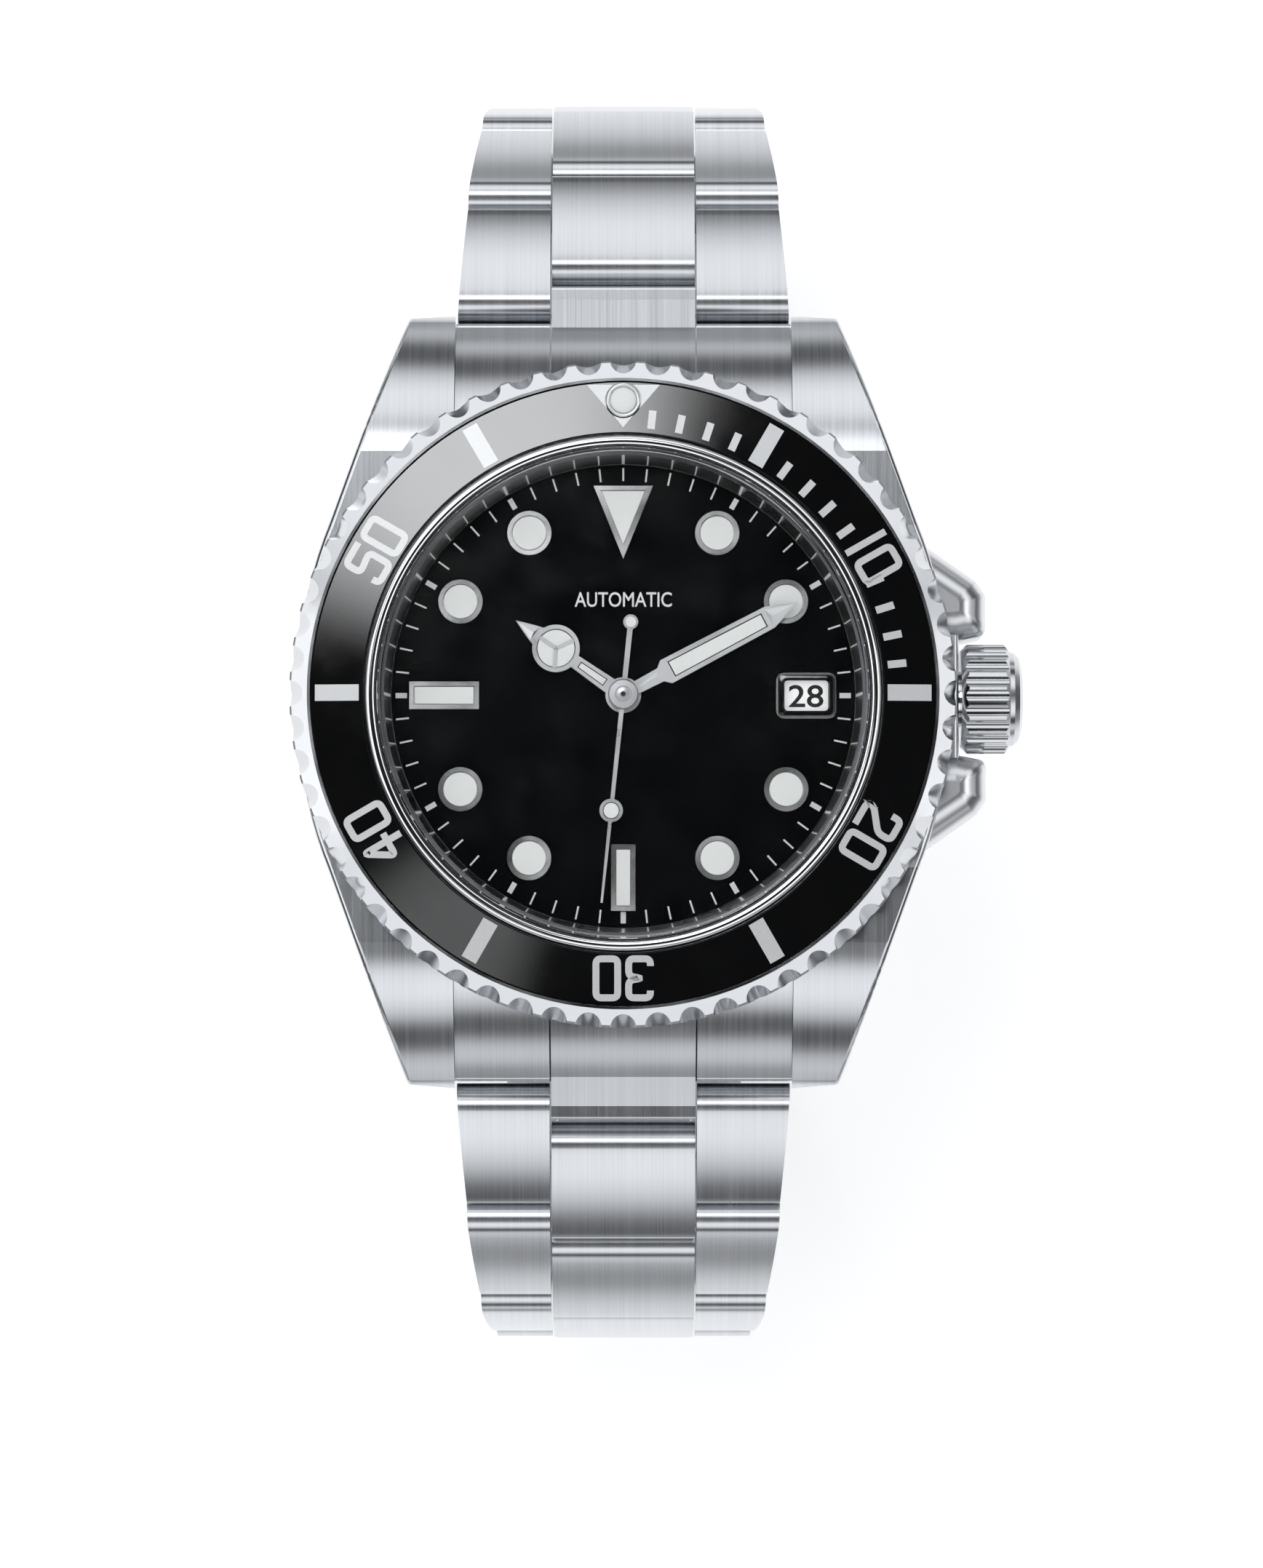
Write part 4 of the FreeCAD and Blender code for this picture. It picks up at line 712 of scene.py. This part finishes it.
def text_mesh(text, height, width=None, weight=0.0):
    """Flat letters of the built-in face, centred at the origin and made to a height and width."""
    curve = bpy.data.curves.new("letters", "FONT")
    curve.body = text
    curve.align_x = "CENTER"
    curve.resolution_u = 4
    curve.offset = weight
    made = bpy.data.objects.new("letters", curve)
    bpy.context.scene.collection.objects.link(made)
    graph = bpy.context.evaluated_depsgraph_get()
    mesh = bpy.data.meshes.new_from_object(made.evaluated_get(graph))
    bm = bmesh.new()
    bm.from_mesh(mesh)
    bpy.data.objects.remove(made)
    bpy.data.curves.remove(curve)
    bpy.data.meshes.remove(mesh)
    xs = [v.co.x for v in bm.verts]
    ys = [v.co.y for v in bm.verts]
    tall = height / (max(ys) - min(ys))
    wide = width / (max(xs) - min(xs)) if width else tall
    middle_x, middle_y = (min(xs) + max(xs)) / 2, (min(ys) + max(ys)) / 2
    for v in bm.verts:
        v.co = ((v.co.x - middle_x) * wide, (v.co.y - middle_y) * tall, 0)
    return bm


def stamp(target, source, place, thickness):
    """Copies flat letters into a target, thickened."""
    made = bmesh.ops.extrude_face_region(source, geom=source.faces[:])
    risen = [v for v in made["geom"] if isinstance(v, bmesh.types.BMVert)]
    bmesh.ops.translate(source, vec=(0, 0, thickness), verts=risen)
    bmesh.ops.transform(source, matrix=place, verts=source.verts)
    mesh = bpy.data.meshes.new("stamp")
    source.to_mesh(mesh)
    target.from_mesh(mesh)
    bpy.data.meshes.remove(mesh)
    source.free()


def dial_print():
    """The minute track and one line of lettering."""
    bm = bmesh.new()
    for minute in range(60):
        strong = minute % 5 == 0 and minute
        half, start, stop = (0.16, 13.35, 14.05) if strong else (0.055, 13.3, 14.1)
        line = turned_about(rectangle(start, stop, -half, half), at_minute(minute))
        raise_outline(bm, line, DIAL_TOP - 0.01, DIAL_TOP + 0.012)
    stamp(bm, text_mesh("AUTOMATIC", 0.92, 6.0, 0.008), Matrix.Translation((0, 5.95, DIAL_TOP)), 0.012)
    piece("dial_print", bm, [PRINT], "case")


def fill_outlines():
    """Plan outlines of the paint in the applied hour markers."""
    inset = INDEX_RIM + PAINT_GAP
    for hour in (1, 2, 4, 5, 7, 8, 10, 11):
        yield circle(DISC_RADIUS - inset, polar(HOUR_MARKER_RADIUS, 90 - 30 * hour))
    for angle, start, end, width in ((180, 9.2, 13.3, 1.5), (90, 8.9, 13.2, 1.7)):
        half = width / 2 - inset
        yield turned_about(rectangle(-half, half, start + inset, end - inset), angle)
    yield [(-1.33, 12.65), (1.33, 12.65), (0, 9.33)]


def index_fills():
    bm = bmesh.new()
    for outline in fill_outlines():
        raise_outline(bm, outline, INDEX_FLOOR, INDEX_FILL)
    piece("index_fills", bm, [LUME], "case", bevel=0.04)


DATE_STEP = 360 / 31
DATE_TODAY = 28
DATE_TOP = 8.2
DATE_X = 11.3


def date_numerals():
    bm = bmesh.new()
    for day in range(1, 32):
        width = 2.15 if day > 9 else 0.98
        if day == 11:
            width = 1.6
        turn = Matrix.Rotation(math.radians((day - DATE_TODAY) * DATE_STEP), 4, "Z")
        place = turn @ Matrix.Translation((DATE_X, 0, DATE_TOP - 0.001))
        stamp(bm, text_mesh(str(day), 1.4, width, 0.012), place, 0.008)
    piece("date_numerals", bm, [DATE_PRINT_AND_SHADE_BLACK], "date_ring")


def rounded_rectangle(half_x, half_y, corner, centre):
    points = []
    for sx, sy, start in ((1, 1, 0), (-1, 1, 90), (-1, -1, 180), (1, -1, 270)):
        spot = (centre[0] + sx * (half_x - corner), centre[1] + sy * (half_y - corner))
        points += arc(spot, corner, start, start + 90, 6)
    return points


def date_frame():
    """A glossy bevelled frame round the date window."""
    # half length, half width, corner radius and height of each outline
    section = [(1.35, 0.94, 0.22, 8.45), (1.35, 0.94, 0.22, 8.72), (1.45, 1.04, 0.3, 8.79),
               (1.62, 1.23, 0.4, 8.79), (1.86, 1.42, 0.5, 8.71), (1.86, 1.42, 0.5, 8.69),
               (1.6, 1.2, 0.4, 8.69)]
    bm = bmesh.new()
    rings = []
    for half_x, half_y, corner, z in section:
        outline = rounded_rectangle(half_x, half_y, corner, (DATE_X, 0))
        rings.append([bm.verts.new((x, y, z)) for x, y in outline])
    for first, second in zip(rings, rings[1:] + rings[:1]):
        for i in range(len(first)):
            j = (i + 1) % len(first)
            bm.faces.new((first[i], first[j], second[j], second[i]))
    piece("date_frame", bm, [CERAMIC], "case")


dial_print()
index_fills()
date_numerals()
date_frame()


CRYSTAL_RADIUS = 15.1
CRYSTAL_LOW = 10.96
CRYSTAL_HIGH = 12.6
CRYSTAL_ROUNDING = 0.25


def crystal():
    """The crystal with a finely rounded rim. It casts no shadow on the dial."""
    middle = (CRYSTAL_RADIUS - CRYSTAL_ROUNDING, CRYSTAL_HIGH - CRYSTAL_ROUNDING)
    section = [(0, CRYSTAL_LOW), (CRYSTAL_RADIUS, CRYSTAL_LOW)]
    section += arc(middle, CRYSTAL_ROUNDING, 0, 90, 8)
    section += [(14.0, CRYSTAL_HIGH), (0, CRYSTAL_HIGH)]
    bm = bmesh.new()
    lathe(bm, section, count=360, closed=False)
    made = piece("crystal_clear", bm, [SAPPHIRE], "case")
    made.visible_shadow = False
    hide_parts("crystal")


def chrome_ring():
    """The polished ring round the crystal, rounded like a half torus."""
    crest = [(15.49 + 0.33 * math.cos(math.radians(a)), 12.12 + 0.2 * math.sin(math.radians(a)))
             for a in range(0, 181, 9)]
    bm = bmesh.new()
    lathe(bm, [(15.16, 11.96), (15.82, 11.96)] + crest, count=360)
    piece("crystal_ring", bm, [POLISHED], "case")


def rehaut_marks():
    """A line for every minute on the sloped ring round the dial."""
    bm = bmesh.new()
    foot, head = (14.35, 8.74), (14.67, 10.88)
    for minute in range(60):
        half = 0.09 if minute % 5 == 0 else 0.045
        corners = []
        for radius, z in (foot, head):
            for lift in (0.0, -0.012):
                for across_x in (-half, half):
                    x, y = turned_about([(radius + lift, across_x)], at_minute(minute))[0]
                    corners.append(bm.verts.new((x, y, z)))
        a, b, c, d, e, g, h, k = corners
        for face in ((a, b, g, e), (c, h, k, d), (a, e, h, c), (b, d, k, g), (a, c, d, b), (e, g, k, h)):
            bm.faces.new(face)
    piece("rehaut_marks", bm, [PRINT], "case")


crystal()
chrome_ring()
rehaut_marks()

# ---- hands: paint fills and crowned tops ----
HOUR_ANGLE = 304.8
MINUTE_ANGLE = 62.1
SECONDS_ANGLE = 185.9


def slotted(bm, outer, holes, low, high):
    """A flat plate with openings."""
    caps = []
    for level in (low, high):
        loops = [[bm.verts.new((x, y, level)) for x, y in loop] for loop in [outer] + holes]
        pierced_face(bm, loops[0], loops[1:])
        caps.append(loops)
    for bottom, top in zip(*caps):
        for i in range(len(bottom)):
            j = (i + 1) % len(bottom)
            bm.faces.new((bottom[i], bottom[j], top[j], top[i]))


def ridge(bm, left, right, tip, root, high, rise):
    """A low pyramid whose crest runs from its root down to the tip of a hand."""
    a, b, c = [bm.verts.new((*spot, high)) for spot in (left, right, tip)]
    crest = bm.verts.new((*root, high + rise))
    for face in ((a, b, crest), (b, c, crest), (c, a, crest), (c, b, a)):
        bm.faces.new(face)


def finish_hand(name, bm, angle, body, node=None, bevel=0.05, material=HANDS):
    """Turns a hand's piece from 12 o'clock to its angle, and puts it in place of its node, if any."""
    bmesh.ops.transform(bm, matrix=Matrix.Rotation(math.radians(-angle), 4, "Z"), verts=bm.verts)
    made = piece(name, bm, [material], body, bevel=bevel)
    if node:
        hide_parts(node)


def mirrored(points):
    """Closes an outline by repeating its right half on the left."""
    return points + [(-x, y) for x, y in reversed(points) if abs(x) > 1e-6]


def angle_at(x, radius):
    """Angle of the upper point of a circle that is x from its middle line."""
    return math.degrees(math.acos(x / radius))


def hour_hand():
    """Hand with a three-spoke ring and a pointed tip."""
    low, high = 9.12, 9.32
    head = (0, 5.05)
    hub_radius, head_radius = 1.1, 1.47
    hub = arc((0, 0), hub_radius, -90, angle_at(0.5, hub_radius), 20)
    ring = arc(head, head_radius, -angle_at(0.42, head_radius), angle_at(0.62, head_radius), 24)
    outer = mirrored(hub + ring + [(0.42, 7.0), (0, 8.07)])
    slot = [(-0.25, 1.35), (0.25, 1.35), (0.21, 3.3), (-0.21, 3.3)]
    bm = bmesh.new()
    slotted(bm, outer, [circle(1.2, head, 48), slot], low, high)
    for turn in (90, 210, 330):
        spoke = [(x, head[1] + y) for x, y in turned_about(rectangle(0, 1.25, -0.12, 0.12), turn)]
        raise_outline(bm, spoke, low, high)
    ridge(bm, (-0.5, 6.62), (0.5, 6.62), (0, 7.98), (0, 6.75), high - 0.01, 0.13)
    finish_hand("hour_hand_steel", bm, HOUR_ANGLE, "hours", "hour_hand")
    bm = bmesh.new()
    raise_outline(bm, circle(1.15, head, 48), low, high - 0.06)
    raise_outline(bm, [(-0.2, 1.4), (0.2, 1.4), (0.16, 3.25), (-0.16, 3.25)], low, high - 0.05)
    finish_hand("hour_fill", bm, HOUR_ANGLE, "hours", bevel=0.01, material=LUME)


def minute_hand():
    """Long pointed hand with one slot."""
    low, high = 9.55, 9.75
    hub_radius = 0.95
    hub = arc((0, 0), hub_radius, -90, angle_at(0.4, hub_radius), 20)
    outer = mirrored(hub + [(0.45, 2.6), (0.8, 3.0), (0.72, 10.2), (0, 12.2)])
    bm = bmesh.new()
    slotted(bm, outer, [[(-0.52, 3.35), (0.52, 3.35), (0.46, 9.85), (-0.46, 9.85)]], low, high)
    ridge(bm, (-0.62, 10.1), (0.62, 10.1), (0, 12.05), (0, 10.35), high - 0.01, 0.15)
    ridge(bm, (0.3, 2.55), (-0.3, 2.55), (0, 0.9), (0, 2.3), high - 0.01, 0.1)
    finish_hand("minute_hand_steel", bm, MINUTE_ANGLE, "minutes", "minute_hand")
    bm = bmesh.new()
    raise_outline(bm, [(-0.46, 3.42), (0.46, 3.42), (0.40, 9.78), (-0.40, 9.78)], low, high - 0.05)
    finish_hand("minute_fill", bm, MINUTE_ANGLE, "minutes", bevel=0.01, material=LUME)


def seconds_hand():
    """The lume of the CAD hand's ring and counterweight, and a turned cap on its hub."""
    bm = bmesh.new()
    for spot, radius, low, high in (((0, 7.2), 0.47, 9.99, 10.09), ((0, -4.48), 0.32, 10.1, 10.135)):
        raise_outline(bm, circle(radius, spot, 40), low, high)
    finish_hand("seconds_fill", bm, SECONDS_ANGLE, "seconds", bevel=0.01, material=LUME)
    bm = bmesh.new()
    lathe(bm, [(0, 10.2), (0.92, 10.2), (0.92, 10.26), (0.86, 10.32), (0.5, 10.33), (0.47, 10.28),
               (0.42, 10.28), (0.39, 10.37), (0.17, 10.4), (0.15, 10.34), (0, 10.34)], closed=False)
    finish_hand("seconds_cap", bm, SECONDS_ANGLE, "seconds", bevel=0)
    # Painted shade: a matte black disc in the hole at the cap's centre stands for the shade down in that
    # hole.
    bm = bmesh.new()
    raise_outline(bm, circle(0.14, (0, 0), 24), 10.33, 10.36)
    piece("hub_hole_painted_shade", bm, [DATE_PRINT_AND_SHADE_BLACK], "seconds")


hour_hand()
minute_hand()
seconds_hand()


# ---- floor, light and camera ----
FLOOR_REACH = 3000
LIT_POOL_REACH = 90
LIT_POOL_END = 260


def build_floor():
    """A pale floor with a painted pool of light: white and glowing round the watch, greyer and unlit far
    away.
    """
    bm = bmesh.new()
    bmesh.ops.create_grid(bm, x_segments=1, y_segments=1, size=FLOOR_REACH)
    mesh = bpy.data.meshes.new("floor")
    bmesh.ops.scale(bm, vec=(MM, MM, MM), verts=bm.verts)
    bm.to_mesh(mesh)
    bm.free()
    floor = bpy.data.objects.new("floor", mesh)
    bpy.context.scene.collection.objects.link(floor)
    floor.location.z = cad_box[0].z - 0.02 * MM
    pale = Finish("pale_floor_painted_pool", (0.9, 0.9, 0.9), 0.8)
    # Painted pool of light: the floor is white and glows round the watch, and fades to an unlit grey
    # further out.
    away = pale.node("ShaderNodeVectorMath", {0: pale.place.outputs["Object"]}, operation="LENGTH")
    near = pale.spread(away.outputs["Value"], 1.0, 0.0, LIT_POOL_REACH * MM, LIT_POOL_END * MM)
    pale.link("Base Color", pale.blend(near, (0.42, 0.42, 0.42), (0.92, 0.92, 0.92)))
    pale.fix("Emission Color", (1, 1, 1, 1))
    pale.link("Emission Strength", pale.maths("MULTIPLY", near, 0.42))
    pale.relief(pale.noise((0.05, 0.05, 0.05), 3), 0.01)
    mesh.materials.append(pale.material)


# brightness at an angle from overhead, in degrees
SKY = [(0, 0.012), (20, 0.02), (24, 0.12), (30, 1.25), (44, 1.4), (54, 0.95), (61, 0.08), (72, 0.08),
       (79, 0.85), (88, 1.0), (98, 0.35), (180, 0.25)]
SKY_LEAN = 6
SKY_PEAK = 2.0
# direction on the plan, lean from overhead, half width and brightness of each round panel
PANELS = [((-0.42, 0.91), 19.5, 14, 4.6), ((-0.72, -0.7), 13.5, 6, 0.75)]


def build_world():
    """A studio seen as brightness by direction: dark overhead, a bright ring, a softer horizon."""
    world = bpy.data.worlds.new("studio")
    bpy.context.scene.world = world
    world.use_nodes = True
    tree = world.node_tree
    tree.nodes.clear()

    def node(kind, inputs=(), **settings):
        return add_node(tree, kind, inputs, **settings)

    def maths(operation, *values):
        return node("ShaderNodeMath", dict(enumerate(values)), operation=operation).outputs[0]

    def toward(axis):
        """Cosine of the angle between the view and an axis."""
        made = node("ShaderNodeVectorMath", {0: direction, 1: axis}, operation="DOT_PRODUCT")
        return made.outputs["Value"]

    def fade(value, start, stop, low, high):
        return node("ShaderNodeMapRange", {"Value": value, "From Min": start, "From Max": stop,
                                           "To Min": low, "To Max": high},
                    interpolation_type="SMOOTHSTEP").outputs[0]

    direction = node("ShaderNodeTexCoord").outputs["Generated"]
    overhead = toward((0, *reversed(polar(1, SKY_LEAN))))
    share = maths("DIVIDE", maths("ARCCOSINE", overhead), math.pi)
    ramp = node("ShaderNodeValToRGB", {0: share})
    stops = ramp.color_ramp.elements
    while len(stops) < len(SKY):
        stops.new(0.5)
    for stop, (degrees, level) in zip(stops, SKY):
        stop.position = degrees / 180
        stop.color = (*[level / SKY_PEAK] * 3, 1)
    total = maths("MULTIPLY", ramp.outputs[0], SKY_PEAK)
    sideways = maths("ABSOLUTE", node("ShaderNodeSeparateXYZ", {0: direction}).outputs[0])
    total = maths("MULTIPLY", total, fade(sideways, 0.55, 0.8, 1.0, 0.15))
    for plan, lean, size, level in PANELS:
        flat = Vector(plan).normalized() * math.sin(math.radians(lean))
        middle = (flat.x, flat.y, math.cos(math.radians(lean)))
        total = maths("ADD", total, fade(toward(middle), math.cos(math.radians(size)), 1.0, 0.0, level))
    back = node("ShaderNodeBackground", {"Color": (0.97, 0.985, 1.0, 1), "Strength": total})
    out = node("ShaderNodeOutputWorld")
    tree.links.new(back.outputs[0], out.inputs[0])


def softbox(name, azimuth, lean, distance, size, power):
    """A rectangular light that looks at the watch."""
    light = bpy.data.lights.new(name, "AREA")
    light.shape = "RECTANGLE"
    light.size, light.size_y = size[0] * MM, size[1] * MM
    light.energy = power
    lamp = bpy.data.objects.new(name, light)
    bpy.context.scene.collection.objects.link(lamp)
    x, y = polar(math.sin(math.radians(lean)), azimuth)
    toward = Vector((x, y, math.cos(math.radians(lean))))
    lamp.location = toward * distance * MM
    lamp.rotation_euler = toward.to_track_quat("Z", "Y").to_euler()


def build_camera():
    """A long lens that looks down on the dial, three degrees from square."""
    data = bpy.data.cameras.new("camera")
    camera = bpy.data.objects.new("camera", data)
    bpy.context.scene.collection.objects.link(camera)
    data.sensor_width = 36.0
    distance = 375.0
    tilt = math.radians(3.0)
    shown_height = 96.034
    data.lens = data.sensor_width * distance / shown_height
    look = Vector((0, math.sin(tilt), -math.cos(tilt)))
    target = Vector((0.51, -5.6, 11.8))
    camera.location = (target - look * distance) * MM
    camera.rotation_euler = look.to_track_quat("-Z", "Y").to_euler()
    data.clip_start, data.clip_end = 0.01, 20
    bpy.context.scene.camera = camera


build_floor()
build_world()
softbox("key_left", 180, 48, 500, (260, 420), 0.3)
softbox("key_right", 0, 52, 500, (220, 420), 0.2)
build_camera()
bpy.context.scene.view_settings.view_transform = "Standard"
